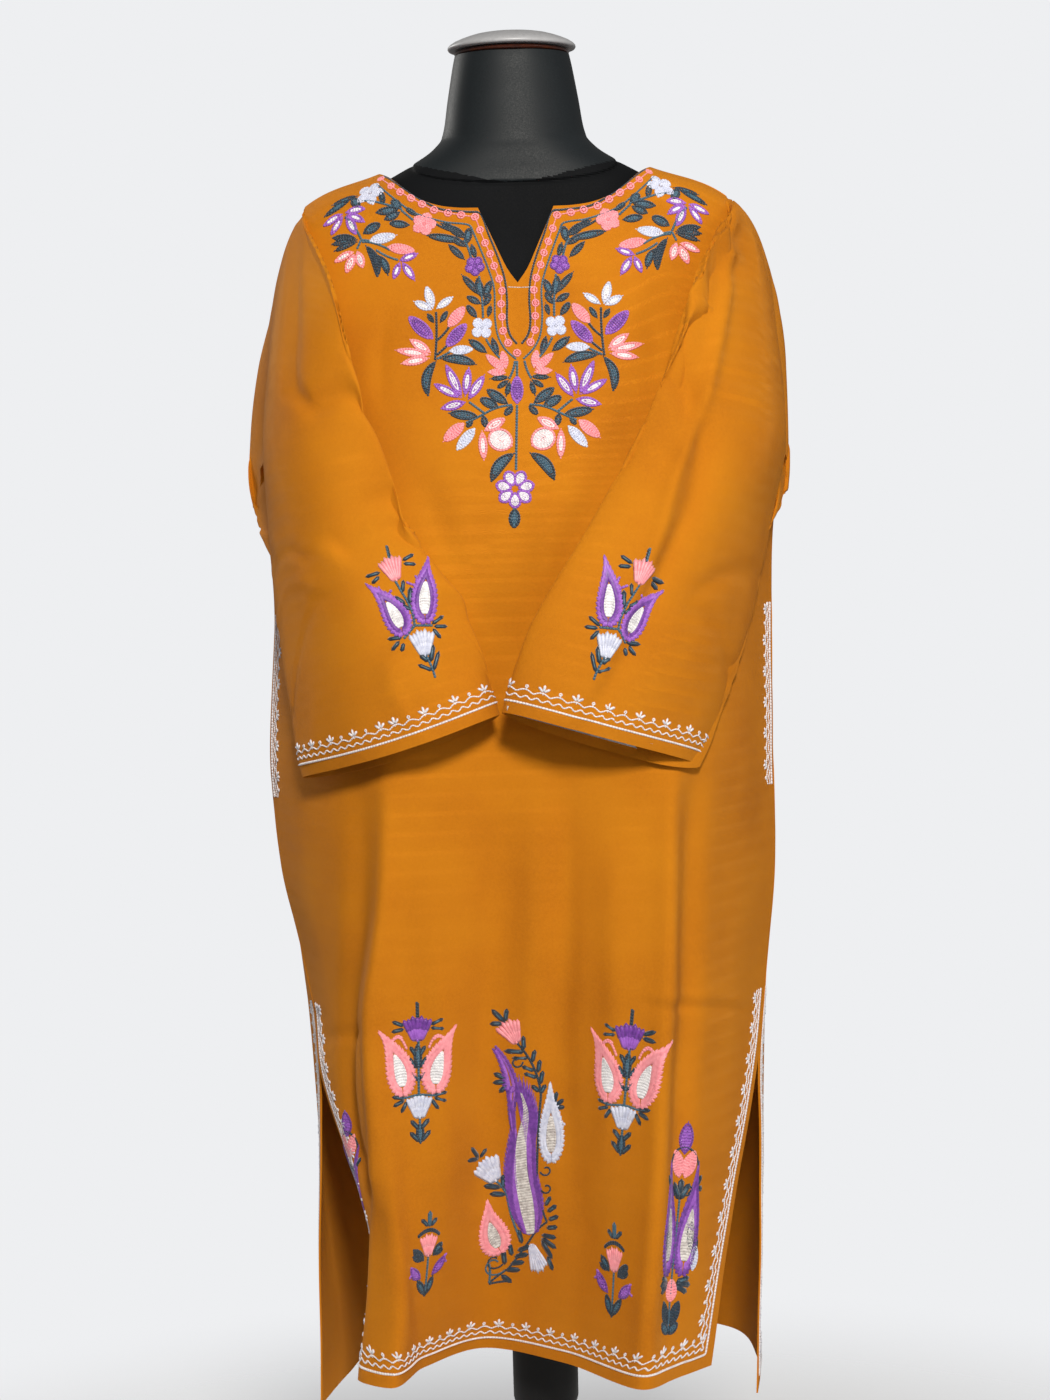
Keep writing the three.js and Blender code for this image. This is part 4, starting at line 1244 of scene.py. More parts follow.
def drawn(mark, base, tip, size, mirror, broad=1.0):
    """The stitches of one row of a chart between two places; its width or bow is in squares of a size."""
    shape, width = mark[0], mark[5]
    extra = dict(mark[7]) if len(mark) > 7 else {}
    if "bend" in extra:
        extra["bend"] *= mirror
    if shape != curl:
        width = width * size
    return shape(base, tip, width * (mirror if shape in BOWED else broad), mark[6], **extra)


def paired(marks):
    """Rows of a chart, and the same rows mirrored about x = 0."""
    mirrored = []
    for shape, x0, y0, x1, y1, width, threads, *extra in marks:
        turned = [{**e, "bend": -e["bend"]} if "bend" in e else e for e in extra]
        mirrored.append((shape, -x0, y0, -x1, y1, -width if shape in BOWED else width, threads, *turned))
    return list(marks) + mirrored


class Work:
    """The embroidery on one piece: rows of stitches at its flat places, and groups laid on as papers."""

    def __init__(self, cloth):
        self.cloth = cloth
        self.first = 30 if cloth.closed else 0
        self.lay = cloth.wrapped(self.first) if cloth.closed else cloth
        self.rows = []
        self.groups = []

    def seen(self, marks, mirrored=False):
        """Shapes whose base and tip are given where they show in the picture, in its pixels."""
        base = self.cloth.flat_at([mark[1:3] for mark in marks])
        tip = self.cloth.flat_at([mark[3:5] for mark in marks])
        for sign in ((1, -1) if mirrored else (1,)):
            flip = np.array([sign, 1])
            for k, mark in enumerate(marks):
                self.rows.append(drawn(mark, base[k] * flip, tip[k] * flip, MM_PER_PIXEL, sign))

    def line(self, points, thread, wide):
        """A line of chain stitch through pixels of the picture, and its mirror image."""
        flat = self.cloth.flat_at(points)
        walked = along(flat)
        smooth = follow(walked, flat, np.arange(0, walked[-1], 1.2))
        for sign in (1, -1):
            self.rows.append(chain(smooth * np.array([sign, 1]), thread, wide=wide))

    def chart(self, marks, top, low, seen_top, seen_low, mirror=1, flip=1, broad=1.0):
        """A motif on flat paper, laid on the cloth from the middle of its axis.

        top and low are the ends of its axis in its own squares, x to the right and y down, and seen_top
        and seen_low where they show in the picture; they set its turn and its size. mirror swaps its left
        and right, flip moves it to the mirrored place on the cloth, and broad widens it.
        """
        cloth = self.cloth
        spots = cloth.flat_at([seen_top, seen_low]) * np.array([flip, 1])
        spots = np.concatenate([spots, [spots.mean(0)]])
        r, c = cloth.solve(cloth.flat, spots, *self.start(spots, cloth))
        ends = cloth.sample(cloth.base, r, c)
        normal = unit(cloth.sample(cloth.base_normal, r[2:], c[2:])[0])
        up = ends[0] - ends[1]
        reach = np.linalg.norm(up)
        up = unit(up - normal * (up @ normal))
        ways = np.stack([np.cross(up, normal), up])
        middle = (np.array(top, float) + np.array(low, float)) / 2
        place = lambda p: (np.array(p, float) - middle) * np.array([mirror * broad, 1.0])
        axis = place(top) - place(low)
        size = reach / np.linalg.norm(axis)
        axis = unit(axis)
        turn = np.array([(-axis[1], axis[0]), axis]) * size
        rows = [
            drawn(mark, turn @ place(mark[1:3]), turn @ place(mark[3:5]), size, mirror, broad)
            for mark in marks
        ]
        put = lambda flat: self.lay.walk(r[2], c[2] + self.first, flat @ ways)
        self.groups.append((np.concatenate(rows), put, False))

    def cuff(self):
        """The white border round a closed piece's last row: x along it, y in from it."""
        around = along(self.cloth.base[-1])[-1]
        rows = border(lambda inset: np.array([(0, inset), (around, inset)]), 1)
        lay = self.lay
        edge = lay.base[-1]
        walked = along(edge)
        walked = walked - walked[self.first]
        inward = unit(np.cross(lay.base_normal[-1], np.gradient(edge, axis=0)))
        sign = float(np.sign((inward * (lay.base[-3] - edge)).sum()))
        inward = inward * sign
        columns = np.arange(len(edge))

        def put(flat):
            c = np.interp(flat[:, 0], walked, columns)
            return lay.walk(len(lay.base) - 1.001, c, between(c, columns, inward) * flat[:, 1:])

        self.groups.append((np.concatenate(rows), put, sign < 0))

    def mesh(self, name):
        """Every stitch as a small closed mound: six rim points under the face and two on its ridge."""
        rim = circle(np.radians([0, 55, 125, 180, 235, 305])) * 0.5
        local = np.concatenate([rim, [(0.24, 0.0), (-0.24, 0.0)]])
        rise = np.array([STITCH_SINK] * 6 + [STITCH_RISE] * 2)
        top = [(0, 1, 6), (1, 2, 7), (1, 7, 6), (2, 3, 7), (3, 4, 7), (4, 5, 6), (4, 6, 7), (5, 0, 6)]
        under = [(0, 5, 1), (1, 5, 4), (1, 4, 2), (2, 4, 3)]
        mound = np.array(top + under)
        groups = list(self.groups)
        if self.rows:
            rows = np.concatenate(self.rows)
            first = [np.repeat(v, len(local)) for v in self.start(rows[:, :2], self.lay)]
            put = lambda flat: self.lay.solve(self.lay.flat, flat, *first)
            groups.append((rows, put, self.cloth.out < 0))
        points = []
        faces = []
        slots = []
        count = 0
        for rows, put, turned in groups:
            cosine = np.cos(rows[:, 2])[:, None]
            sine = np.sin(rows[:, 2])[:, None]
            x = local[None, :, 0] * rows[:, 3:4]
            y = local[None, :, 1] * rows[:, 4:5]
            flat = np.stack([x * cosine - y * sine, x * sine + y * cosine], -1) + rows[:, None, :2]
            high = np.where(rise > 0, rise[None] * rows[:, 5:6], rise[None])
            r, c = put(flat.reshape(-1, 2))
            points.append(self.lay.lift(r, c, high.ravel()))
            shape = mound[:, ::-1] if turned else mound
            starts = count + np.arange(len(rows)) * len(local)
            faces.append((starts[:, None, None] + shape).reshape(-1, 3))
            slots.append(np.repeat(rows[:, 6].astype(int), len(mound)))
            count += len(rows) * len(local)
        points, faces, slots = map(np.concatenate, (points, faces, slots))
        return put_mesh(name, points, faces, None, THREADS, slots)

    def start(self, places, cloth):
        """A first row and column near each flat place."""
        step = 3
        coarse = cloth.flat[::step, ::step].reshape(-1, 2)
        wide = cloth.flat[::step, ::step].shape[1]
        found = np.zeros(len(places), int)
        batch = 512
        for k in range(0, len(places), batch):
            part = places[k:k + batch]
            far = ((coarse[None] - part[:, None]) ** 2).sum(-1)
            found[k:k + batch] = far.argmin(1)
        return (found // wide * step).astype(float), (found % wide * step).astype(float)


# Charts of the embroidery. Each row: a shape, where it starts, where it ends, its width or bow, its threads.
# The yoke's left half, in pixels of the picture; the right half is its mirror image about the middle.
P = [PINK, PINK]
PS = [PINK, SILVER]
L = [LILAC, LILAC]
LS = [LILAC, SILVER]
V = [PURPLE, ORCHID]
VS = [ORCHID, SILVER]
T = [DARK, TEAL]
D = [DARK, DARK]
S = [TEAL, TEAL]
YOKE = [
    (blossom, 370, 193, 377, 184, 10, L), (leaf, 352, 199, 323, 218, 6, T),
    (leaf, 358, 196, 331, 206, 5, T), (leaf, 352, 198, 360, 208, 6, T), (stem, 362, 201, 402, 209, 1, S),
    (leaf, 384, 205, 381, 191, 5, T), (leaf, 400, 208, 375, 213, 6, T), (leaf, 401, 208, 391, 200, 7, T),
    (leaf, 400, 212, 384, 220, 6, T), (leaf, 410, 225, 388, 223, 6, T), (stem, 401, 210, 413, 220, 0, S),
    (leaf, 418, 216, 404, 207, 4, D), (blossom, 424, 224, 428, 214, 10, P),
    (stem, 436, 224, 456, 232, -1, D), (leaf, 457, 231, 440, 223, 5, D), (leaf, 466, 238, 447, 225, 6, D),
    (leaf, 464, 241, 425, 235, 6, T), (leaf, 467, 244, 469, 227, 6, T), (leaf, 466, 247, 450, 236, 5, T),
    (stem, 464, 240, 471, 258, 1, S), (leaf, 465, 260, 448, 244, 5, T), (leaf, 476, 259, 471, 243, 4, T),
    (blossom, 475, 266, 480, 258, 9, V), (stem, 479, 276, 483, 318, 1, S), (leaf, 481, 296, 461, 274, 5, T),
    (leaf, 482, 298, 477, 277, 6, T), (leaf, 484, 298, 491, 280, 6, T), (leaf, 481, 304, 466, 296, 5, T),
    (leaf, 484, 306, 491, 293, 5, T), (leaf, 477, 318, 466, 304, 5, T), (leaf, 488, 317, 491, 304, 4, D),
    (blossom, 482, 328, 490, 321, 10, L, {"petals": 4}), (leaf, 487, 353, 468, 339, 6, T),
    (leaf, 498, 357, 492, 337, 5, T), (stem, 486, 339, 500, 358, -1, S), (petal, 343, 214, 322, 227, 9, VS),
    (petal, 343, 216, 330, 237, 9, VS), (petal, 346, 216, 357, 236, 9, VS),
    (petal, 346, 215, 366, 223, 8, VS), (petal, 345, 213, 366, 209, 9, VS),
    (stem, 345, 217, 361, 239, 1, S), (leaf, 363, 234, 381, 223, 7, T), (leaf, 358, 240, 331, 238, 5, D),
    (leaf, 357, 241, 330, 245, 5, T), (leaf, 358, 242, 333, 252, 5, T), (stem, 357, 249, 361, 240, 0, S),
    (petal, 354, 252, 333, 263, 9, PS), (petal, 354, 254, 346, 274, 11, PS),
    (petal, 357, 251, 363, 269, 10, PS), (bud, 369, 241, 397, 235, 11, L), (stem, 361, 240, 370, 241, 0, S),
    (stem, 362, 242, 390, 250, 2, S), (bud, 387, 247, 416, 251, 11, P),
    (leaf, 365, 245, 377, 279, 7, D, {"bend": 0.14}), (leaf, 378, 255, 388, 276, 6, T, {"bend": 0.1}),
    (stem, 376, 250, 398, 260, -1, S), (petal, 399, 261, 419, 253, 8, VS),
    (petal, 402, 262, 415, 281, 9, VS), (petal, 400, 262, 393, 280, 8, VS),
    (petal, 433, 309, 426, 285, 10, LS), (petal, 432, 310, 413, 301, 9, LS),
    (petal, 436, 309, 454, 296, 8, LS), (stem, 436, 312, 435, 360, 1, D), (leaf, 434, 323, 427, 313, 4, D),
    (leaf, 440, 323, 448, 310, 4, T), (bud, 433, 339, 408, 316, 14, [ORCHID, PURPLE]),
    (bud, 448, 327, 465, 306, 12, P), (stem, 436, 341, 449, 327, -1, D),
    (bud, 446, 347, 467, 323, 13, [ORCHID, PURPLE]), (stem, 437, 355, 448, 345, 0, D),
    (petal, 431, 353, 409, 339, 10, PS), (petal, 431, 355, 394, 350, 9, PS),
    (petal, 430, 358, 400, 364, 9, PS), (bud, 449, 351, 474, 349, 10, L), (stem, 437, 359, 450, 352, 0, S),
    (leaf, 440, 359, 477, 365, 7, T, {"bend": 0.08}), (leaf, 437, 360, 429, 398, 7, T, {"bend": -0.17}),
    (petal, 462, 398, 445, 363, 10, VS), (petal, 465, 397, 469, 366, 9, VS),
    (petal, 468, 400, 485, 374, 10, VS), (petal, 461, 398, 432, 383, 9, VS),
    (petal, 466, 402, 440, 409, 10, VS), (petal, 505, 371, 485, 354, 9, P),
    (petal, 506, 369, 502, 350, 9, P), (petal, 506, 373, 487, 372, 8, P), (leaf, 510, 377, 489, 379, 4, T),
    (leaf, 509, 380, 496, 389, 4, T), (leaf, 510, 381, 506, 397, 4, T), (stem, 515, 361, 509, 379, 1, S),
    (leaf, 508, 404, 486, 389, 7, T), (leaf, 499, 408, 479, 398, 7, T), (stem, 512, 405, 484, 414, -2, S),
    (stem, 484, 414, 466, 423, 0, S), (leaf, 479, 417, 448, 413, 7, T), (leaf, 483, 415, 486, 428, 5, T),
    (stem, 469, 402, 484, 413, 0, S), (leaf, 513, 406, 504, 416, 5, T), (leaf, 473, 420, 466, 428, 4, T),
    (bud, 464, 423, 443, 442, 12, P), (bud, 475, 428, 456, 451, 11, L), (petal, 484, 431, 506, 418, 11, PS),
    (petal, 482, 430, 484, 462, 9, PS), (petal, 489, 434, 512, 446, 23, PS, {"point": 0.5}),
    (leaf, 515, 453, 491, 483, 8, T, {"bend": -0.12}),
]
YOKE_FLOWER = (515, 489)
YOKE_MIDDLE = [
    (bud, 517, 404, 517, 375, 13, [ORCHID, PURPLE]), (stem, 517, 361, 517, 376, 0, S),
    (stem, 517, 405, 516, 470, 0, S), (stem, 514, 508, 514, 527, 0, S), (leaf, 515, 508, 514, 529, 8, T),
] + [
    (petal, *(YOKE_FLOWER + way * 3), *(YOKE_FLOWER + way * 20), 13, VS, {"point": 0.6, "belly": 1.3})
    for way in circle(math.pi / 2 - np.arange(7) / 7 * 2 * math.pi)
]
INNER_LINE = [
    (384, 176), (402, 187), (420, 199), (440, 209), (470, 212), (480, 213), (488, 233), (495, 250),
    (501, 266), (505, 281), (507, 300), (507, 322), (510, 335), (517, 344),
]
OUTER_LINE = [
    (376, 184), (392, 197), (415, 213), (445, 222), (469, 225), (473, 232), (480, 248), (488, 268),
    (494, 288), (495, 318), (498, 336), (505, 349), (517, 360),
]
BEADS = [
    (381, 179), (391, 186), (400, 192), (411, 198), (422, 204), (434, 210), (448, 213), (461, 215),
    (475, 217), (480, 230), (485, 243), (490, 254), (494, 266), (499, 279), (502, 291), (501, 304),
    (502, 317), (503, 331), (508, 343),
]
LOWEST_BEAD = (517, 353)
# The bar across the placket slit, half way down
SLIT_BAR = [(508, 287), (520, 287.5), (532, 287)]


# The skirt's sprig of two paisleys: squares of one pixel, x out from its stem, y down from its top
def skirt_sprig(fan_threads, drop_threads):
    return [
        (stem, 0, 16, 0, 0, 0, D), (stem, 1, 16, 1, 1, 0, D), (fan, 0, 40, 0, 14, 31, fan_threads),
        (stem, 1, 40, 0, 96, 0, S), (fan, 0, 120, 0, 95, 28, L), (stem, 0, 119, 0, 146, 0, S),
        (leaf, 0, 70, 0, 42, 6, T), (leaf, 0, 147, 0, 124, 6, T),
    ] + paired([
        (stroke, 13, 24, 27, 18, 4, T), (stroke, 13, 27, 28, 29, 4, T), (stroke, 1, 57, 8, 45, 4, T),
        (stroke, 1, 69, 10, 56, 4, T), (stroke, 1, 82, 8, 70, 4, T),
        (paisley, 17, 98, 42, 25, 32, drop_threads, {"bend": 0.1}),
        (hook, 30, 44, 11, 48, -11, [drop_threads[0], drop_threads[0]]), (stem, 0, 96, 18, 98, 0, S),
        (stroke, 14, 98, 30, 95, 4, T), (stroke, 15, 100, 29, 105, 4, T), (stroke, 12, 101, 20, 113, 4, T),
        (stroke, 0, 132, 10, 121, 4.5, T), (stroke, 0, 145, 11, 133, 4.5, T),
    ])


# The sleeve's sprig, in pixels of the picture
SLEEVE_SPRIG = [
    (stem, 388, 560, 385, 546, 0, S), (stem, 389, 560, 386, 547, 0, T), (fan, 395, 582, 386, 557, 26, P),
    (stroke, 401, 562, 414, 554, 4, T), (stroke, 402, 565, 416, 565, 4, T),
    (stroke, 379, 574, 363, 579, 4, T), (stroke, 378, 578, 370, 586, 4, T),
    (stem, 394, 583, 402, 597, 0, S), (stem, 402, 597, 413, 628, 2, S), (stroke, 401, 595, 402, 581, 4, T),
    (stroke, 404, 606, 392, 598, 4, T), (stroke, 408, 608, 409, 588, 5, T),
    (stroke, 409, 613, 400, 606, 4, T),
    (paisley, 403, 640, 363, 585, 27, [ORCHID, PURPLE, SILVER], {"bend": -0.1}),
    (hook, 377, 590, 390, 592, -10, [ORCHID, ORCHID]),
    (paisley, 424, 628, 431, 552, 27, [ORCHID, PURPLE, SILVER], {"bend": 0.06}),
    (hook, 414, 577, 405, 584, 9, [ORCHID, ORCHID]), (fan, 424, 657, 419, 631, 27, L),
    (stem, 413, 628, 431, 627, 0, S), (stem, 413, 628, 403, 641, 0, S), (stroke, 430, 626, 443, 616, 4, T),
    (stroke, 432, 628, 447, 627, 4, T), (stroke, 431, 630, 440, 640, 4, T),
    (stroke, 402, 640, 386, 641, 4, T), (stroke, 399, 643, 391, 653, 4, T),
    (stroke, 403, 645, 401, 654, 4, T), (stem, 424, 656, 434, 679, 1, S),
    (stroke, 428, 663, 418, 656, 5, T), (stroke, 429, 664, 432, 645, 5, T),
    (stroke, 432, 673, 438, 651, 4, T), (stroke, 432, 672, 416, 666, 4, T),
]

# The large sprig in the middle of the skirt, in pixels of the picture
GREAT_SPRIG = [
    (stroke, 505, 1023, 491, 1009, 4, T), (stroke, 505, 1022, 507, 1008, 4, T),
    (stroke, 503, 1024, 489, 1024, 4, T), (fan, 517, 1043, 505, 1020, 25, P),
    (stem, 517, 1043, 531, 1062, 1, D), (stem, 531, 1062, 541, 1096, 2, D),
    (stem, 541, 1096, 537, 1196, -2, D), (stroke, 525, 1052, 503, 1051, 5, T),
    (stroke, 524, 1050, 523, 1035, 5, T), (stroke, 529, 1058, 511, 1058, 4, T),
    (stroke, 532, 1063, 535, 1049, 4.5, T), (curl, 523, 1062, 510, 1062, 1, [DARK, DARK]),
    (stroke, 535, 1071, 521, 1066, 4.5, T), (stroke, 538, 1073, 540, 1059, 4.5, T),
    (stroke, 538, 1078, 523, 1073, 4.5, T), (stroke, 540, 1085, 543, 1070, 4.5, T),
    (stroke, 540, 1094, 546, 1084, 4.5, T), (stroke, 540, 1092, 531, 1085, 4.5, T),
    (stroke, 508, 1080, 493, 1073, 4.5, T), (stroke, 508, 1082, 492, 1083, 4.5, T),
    (stroke, 508, 1084, 499, 1093, 4.5, T), (lock, 514, 1086, 514, 1136, 13, V, {"bend": -0.04}),
    (lock, 512, 1092, 493, 1046, 20, V, {"bend": -0.07}),
    (paisley, 551, 1165, 550, 1080, 26, [LILAC, LILAC, CORE], {"heart": 0.36}),
    (hook, 557, 1106, 565, 1125, -5, L), (stroke, 554, 1104, 557, 1091, 4, D),
    (stroke, 555, 1106, 564, 1099, 4, D), (stroke, 556, 1108, 565, 1107, 4, D),
    (curl, 540, 1172, 552, 1168, -1, [DARK, TEAL]), (curl, 541, 1190, 552, 1186, -1, [DARK, TEAL]),
    (fan, 496, 1181, 482, 1159, 30, L), (stroke, 479, 1158, 471, 1147, 4, D),
    (stroke, 480, 1158, 487, 1148, 4, D), (stroke, 479, 1159, 467, 1161, 4, D),
    (stem, 496, 1181, 508, 1200, 2, S), (stroke, 503, 1190, 503, 1174, 4.5, T),
    (stroke, 501, 1188, 483, 1186, 4.5, T), (stroke, 506, 1195, 489, 1194, 4.5, T),
    (stem, 508, 1200, 520, 1238, -2, S),
    (paisley, 502, 1255, 487, 1198, 33, [PINK, PINK, CORE], {"bend": 0.06, "heart": 0.34}),
    (hook, 487, 1204, 483, 1230, 5, P), (fan, 531, 1245, 541, 1273, 22, L),
    (stem, 541, 1196, 547, 1222, -2, D), (stem, 547, 1222, 530, 1240, -2, D),
    (stem, 530, 1240, 509, 1268, 0, D), (stem, 509, 1268, 489, 1283, 0, D),
    (stroke, 545, 1206, 551, 1196, 4.5, T), (stroke, 547, 1212, 557, 1205, 5, T),
    (stroke, 548, 1220, 559, 1216, 5, T), (stroke, 546, 1228, 558, 1227, 5, T),
    (stroke, 541, 1235, 557, 1238, 5, D), (stroke, 541, 1238, 557, 1249, 5, D),
    (stroke, 541, 1240, 553, 1260, 5, D), (stroke, 547, 1256, 553, 1271, 5, T),
    (stroke, 522, 1244, 518, 1229, 5, T), (stroke, 517, 1251, 531, 1246, 5, D),
    (stroke, 514, 1257, 529, 1254, 5, D), (stroke, 510, 1264, 525, 1262, 5, D),
    (stroke, 505, 1270, 521, 1270, 5, D), (stroke, 512, 1256, 509, 1243, 5, T),
    (stroke, 505, 1265, 503, 1250, 5, T), (curl, 503, 1264, 486, 1259, 1, [DARK, TEAL]),
    (curl, 505, 1270, 484, 1262, 1, [TEAL, TEAL]), (stem, 489, 1264, 489, 1283, 1, S),
    (stem, 489, 1284, 510, 1281, 0, D), (stroke, 501, 1275, 512, 1283, 5, D),
]
# The great sprig's long drop: x and y of its spine, half its width, half its core's width
GREAT_DROP = [
    (531, 1234, 9, 4), (527, 1206, 19, 7.5), (521, 1172, 17.5, 6.5), (522, 1140, 14, 5),
    (526, 1112, 12, 2.5), (519, 1088, 11, 0), (508, 1078, 6, 0),
]

# The small sprig near the hem: squares of one pixel
HEM_SPRIG = [
    (stroke, 0, 19, 0, 0, 5, S), (stroke, -1, 18, -9, 9, 4.5, T), (stroke, 1, 18, 10, 9, 4.5, T),
    (stem, -13, 28, 13, 28, 7, D), (stem, -13, 29, 13, 29, 6, T), (fan, 0, 51, 0, 26, 22, P),
    (stem, 0, 50, -1, 92, 0, S), (leaf, -6, 52, -18, 37, 6, T), (leaf, -7, 51, -20, 45, 5, T),
    (leaf, 5, 56, 19, 41, 7, D), (leaf, 6, 55, 20, 49, 6, D),
    (petal, -7, 74, -24, 53, 11, V, {"bend": 0.05}), (hook, -24, 53, -27, 62, 4, [ORCHID, ORCHID]),
    (petal, 7, 76, 24, 60, 12, V, {"bend": -0.05}), (hook, 23, 60, 27, 71, -5, [ORCHID, ORCHID]),
    (leaf, -2, 96, -10, 74, 6, T), (leaf, -1, 96, 12, 76, 6, T), (leaf, -1, 98, 0, 82, 5, T),
]

# The tall sprig of the side panels: squares of one pixel, x out from its stem, y down from its top
SIDE_SPRIG = [
    (petal, 0, 34, 0, 0, 11, V), (stroke, 0, 76, 0, 58, 4.5, D), (stem, 0, 80, 0, 176, 0, S),
    (stroke, 13, 68, 20, 68, 4, D), (leaf, 15, 138, 19, 116, 5, T), (bud, 18, 152, 18, 124, 9, L),
    (bud, 0, 184, 0, 160, 11, P), (stem, 0, 184, 0, 214, 0, S),
] + paired([
    (petal, 2, 58, 8, 28, 11, P), (stem, 0, 26, 13, 48, 5, D), (stem, 13, 48, 6, 74, 3, D),
    (stroke, 0, 80, 7, 62, 4.5, T), (curl, 2, 74, 9, 64, -1, [DARK, TEAL]),
    (paisley, 8, 160, 13, 40, 20, [PURPLE, ORCHID, CORE], {"heart": 0.5}),
    (lock, 13, 86, 20, 112, 9, V, {"bend": -0.4}), (stroke, 13, 66, 18, 54, 4, D),
    (leaf, 14, 132, 11, 100, 6, D), (stroke, 4, 164, 16, 158, 4.5, T), (stroke, 4, 165, 18, 166, 4.5, D),
    (stroke, 4, 167, 15, 174, 4.5, D), (leaf, 2, 208, 8, 182, 6, D), (leaf, 0, 216, 9, 204, 5, T),
])

# The white border: its lines' places in from the edge, and its repeat
BORDER_LINE = 11.0
BORDER_WAVE = 16.5
BORDER_VINE = 21.5
BORDER_REPEAT = 28.0
WAVE_LENGTH = 9.2


def border(inset_path, inward):
    """White border along inset paths: a straight line, a wavy line, and a vine with florets and buds."""
    parts = [chain(inset_path(BORDER_LINE), WHITE, wide=3.0, pitch=2.8, high=1.35)]
    for inset, length, height in ((BORDER_WAVE, WAVE_LENGTH, 1.4), (BORDER_VINE, BORDER_REPEAT / 2, -1.5)):
        line = inset_path(inset)
        place = along(line)
        count = int(round(place[-1] / length))
        fine = np.arange(0, place[-1], 1.0)
        spot = between(fine, place, line)
        run = unit(np.gradient(spot, axis=0))
        side = np.stack([-run[:, 1], run[:, 0]], -1) * inward
        turn = math.pi * fine / place[-1] * count
        swing = height * (np.sin(2 * turn) if inset == BORDER_WAVE else 1 - 2 * np.abs(np.sin(turn)))
        parts.append(chain(spot + side * swing[:, None], WHITE, wide=2.2, pitch=2.2))
    for k in range(count):
        i = min(int((k + 0.5) * place[-1] / count), len(spot) - 1)
        parts += bud_on_vine(spot[i], side[i]) if k % 2 else floret(spot[i], side[i], run[i])
    return parts


def bud_on_vine(at, up):
    """A small bead on a short stalk."""
    return [small_bead(at + up * 4.2), chain([at + up * 1.5, at + up * 3.6], WHITE, wide=1.9)]


def floret(at, up, ahead):
    """Three white petals of one stitch each, with a lilac stitch over each."""
    root = at + up * 2.2
    parts = [chain([at, root], WHITE, wide=2.0)]
    for way in (-1, 0, 1):
        tip = root + up * (7.0 if way == 0 else 4.2) + ahead * way * 5.2
        inner = mix(root, tip, np.array([[0.3], [0.9]]))
        parts.append(long_stitch(root[None], tip[None], WHITE, 3.6, 1.1))
        parts.append(long_stitch(inner[:1], inner[1:], LILAC, 1.8, 1.4))
    return parts


def hem_path(cloth):
    """Inset path down a panel's left slit edge, along its hem and up its right slit edge, mitred."""
    first = int(np.argmax(cloth.grid[:, 0, 2] < SLIT_TOP + 12))
    left = cloth.flat[first:, 0]
    right = cloth.flat[first:, -1]
    hem = cloth.flat[-1]

    def path(inset):
        u = np.arange(left[-1, 0] + inset, right[-1, 0] - inset, 4.0)
        bottom = np.stack([u, np.interp(u, hem[:, 0], hem[:, 1]) + inset], -1)
        down = left[left[:, 1] > bottom[0, 1] + 2] + np.array([inset, 0])
        up = right[right[:, 1] > bottom[-1, 1] + 2] - np.array([inset, 0])
        return np.concatenate([down, bottom, up[::-1]])

    return path


def mouth_path(cloth, side):
    """Inset path beside a pocket's mouth, a little longer than it."""
    column = 0 if side < 0 else -1
    heights = cloth.grid[:, column, 2]
    edge = cloth.flat[(heights < POCKET_HIGH + 16) & (heights > POCKET_LOW - 14), column]
    return lambda inset: edge - np.array([side * (inset - 5), 0])


yoke = Work(FRONT)
yoke.seen(YOKE, mirrored=True)
yoke.seen(YOKE_MIDDLE)
yoke.line(INNER_LINE, DARK, 3.4)
yoke.line(OUTER_LINE, TEAL, 3.0)
bead_places = FRONT.flat_at(BEADS)
for sign in (1, -1):
    for spot in bead_places:
        yoke.rows.append(bead(spot * np.array([sign, 1]), PINK))
    yoke.rows.append(chain(bead_places * np.array([sign, 1]), PINK, wide=2.0))
yoke.rows.append(bead(FRONT.flat_at([LOWEST_BEAD])[0], PINK))
yoke.rows.append(chain(FRONT.flat_at(SLIT_BAR), CORE, wide=1.4))
yoke_stitches = yoke.mesh("yoke_embroidery")

skirt = Work(FRONT)
pink_drops = [PINK, PINK, SILVER]
skirt.chart(skirt_sprig(V, pink_drops), (0, 0), (0, 147), (632, 1009), (620, 1156))
skirt.chart(skirt_sprig(V, pink_drops), (0, 0), (0, 147), (419, 1002), (423, 1144))
skirt.seen(GREAT_SPRIG)
knots = np.arange(len(GREAT_DROP))
steps = np.linspace(0, knots[-1], 60)
drop = np.array(GREAT_DROP, float)
skirt.rows.append(feather(
    follow(knots, FRONT.flat_at(drop[:, :2]), steps),
    follow(knots, drop[:, 2] * MM_PER_PIXEL, steps),
    follow(knots, drop[:, 3] * MM_PER_PIXEL, steps),
    [PURPLE, ORCHID, CORE],
))
skirt.chart(HEM_SPRIG, (0, 0), (0, 98), (613, 1221), (611, 1318))
skirt.chart(HEM_SPRIG, (0, 0), (0, 98), (431, 1210), (424, 1297), mirror=-1)
for way in (1, -1):
    skirt.chart(SIDE_SPRIG, (0, 0), (0, 216), (681, 1124), (663, 1338), mirror=way, flip=way, broad=1.45)
skirt_stitches = skirt.mesh("skirt_embroidery")

front_border = Work(FRONT)
front_border.rows += border(hem_path(FRONT), 1)
front_border.rows += border(mouth_path(FRONT, -1), 1)
front_border.rows += border(mouth_path(FRONT, 1), -1)
front_edging = front_border.mesh("front_border")
back_border = Work(BACK)
back_border.rows += border(hem_path(BACK), 1)
back_edging = back_border.mesh("back_border")

left_work = Work(LEFT)
left_work.chart(SLEEVE_SPRIG, (388, 553), (434, 679), (388, 553), (434, 679))
left_work.cuff()
left_stitches = left_work.mesh("sleeve_left_embroidery")
right_work = Work(RIGHT)
right_work.chart(SLEEVE_SPRIG, (388, 553), (434, 679), (648, 556), (595, 681), mirror=-1)
right_work.cuff()
right_stitches = right_work.mesh("sleeve_right_embroidery")


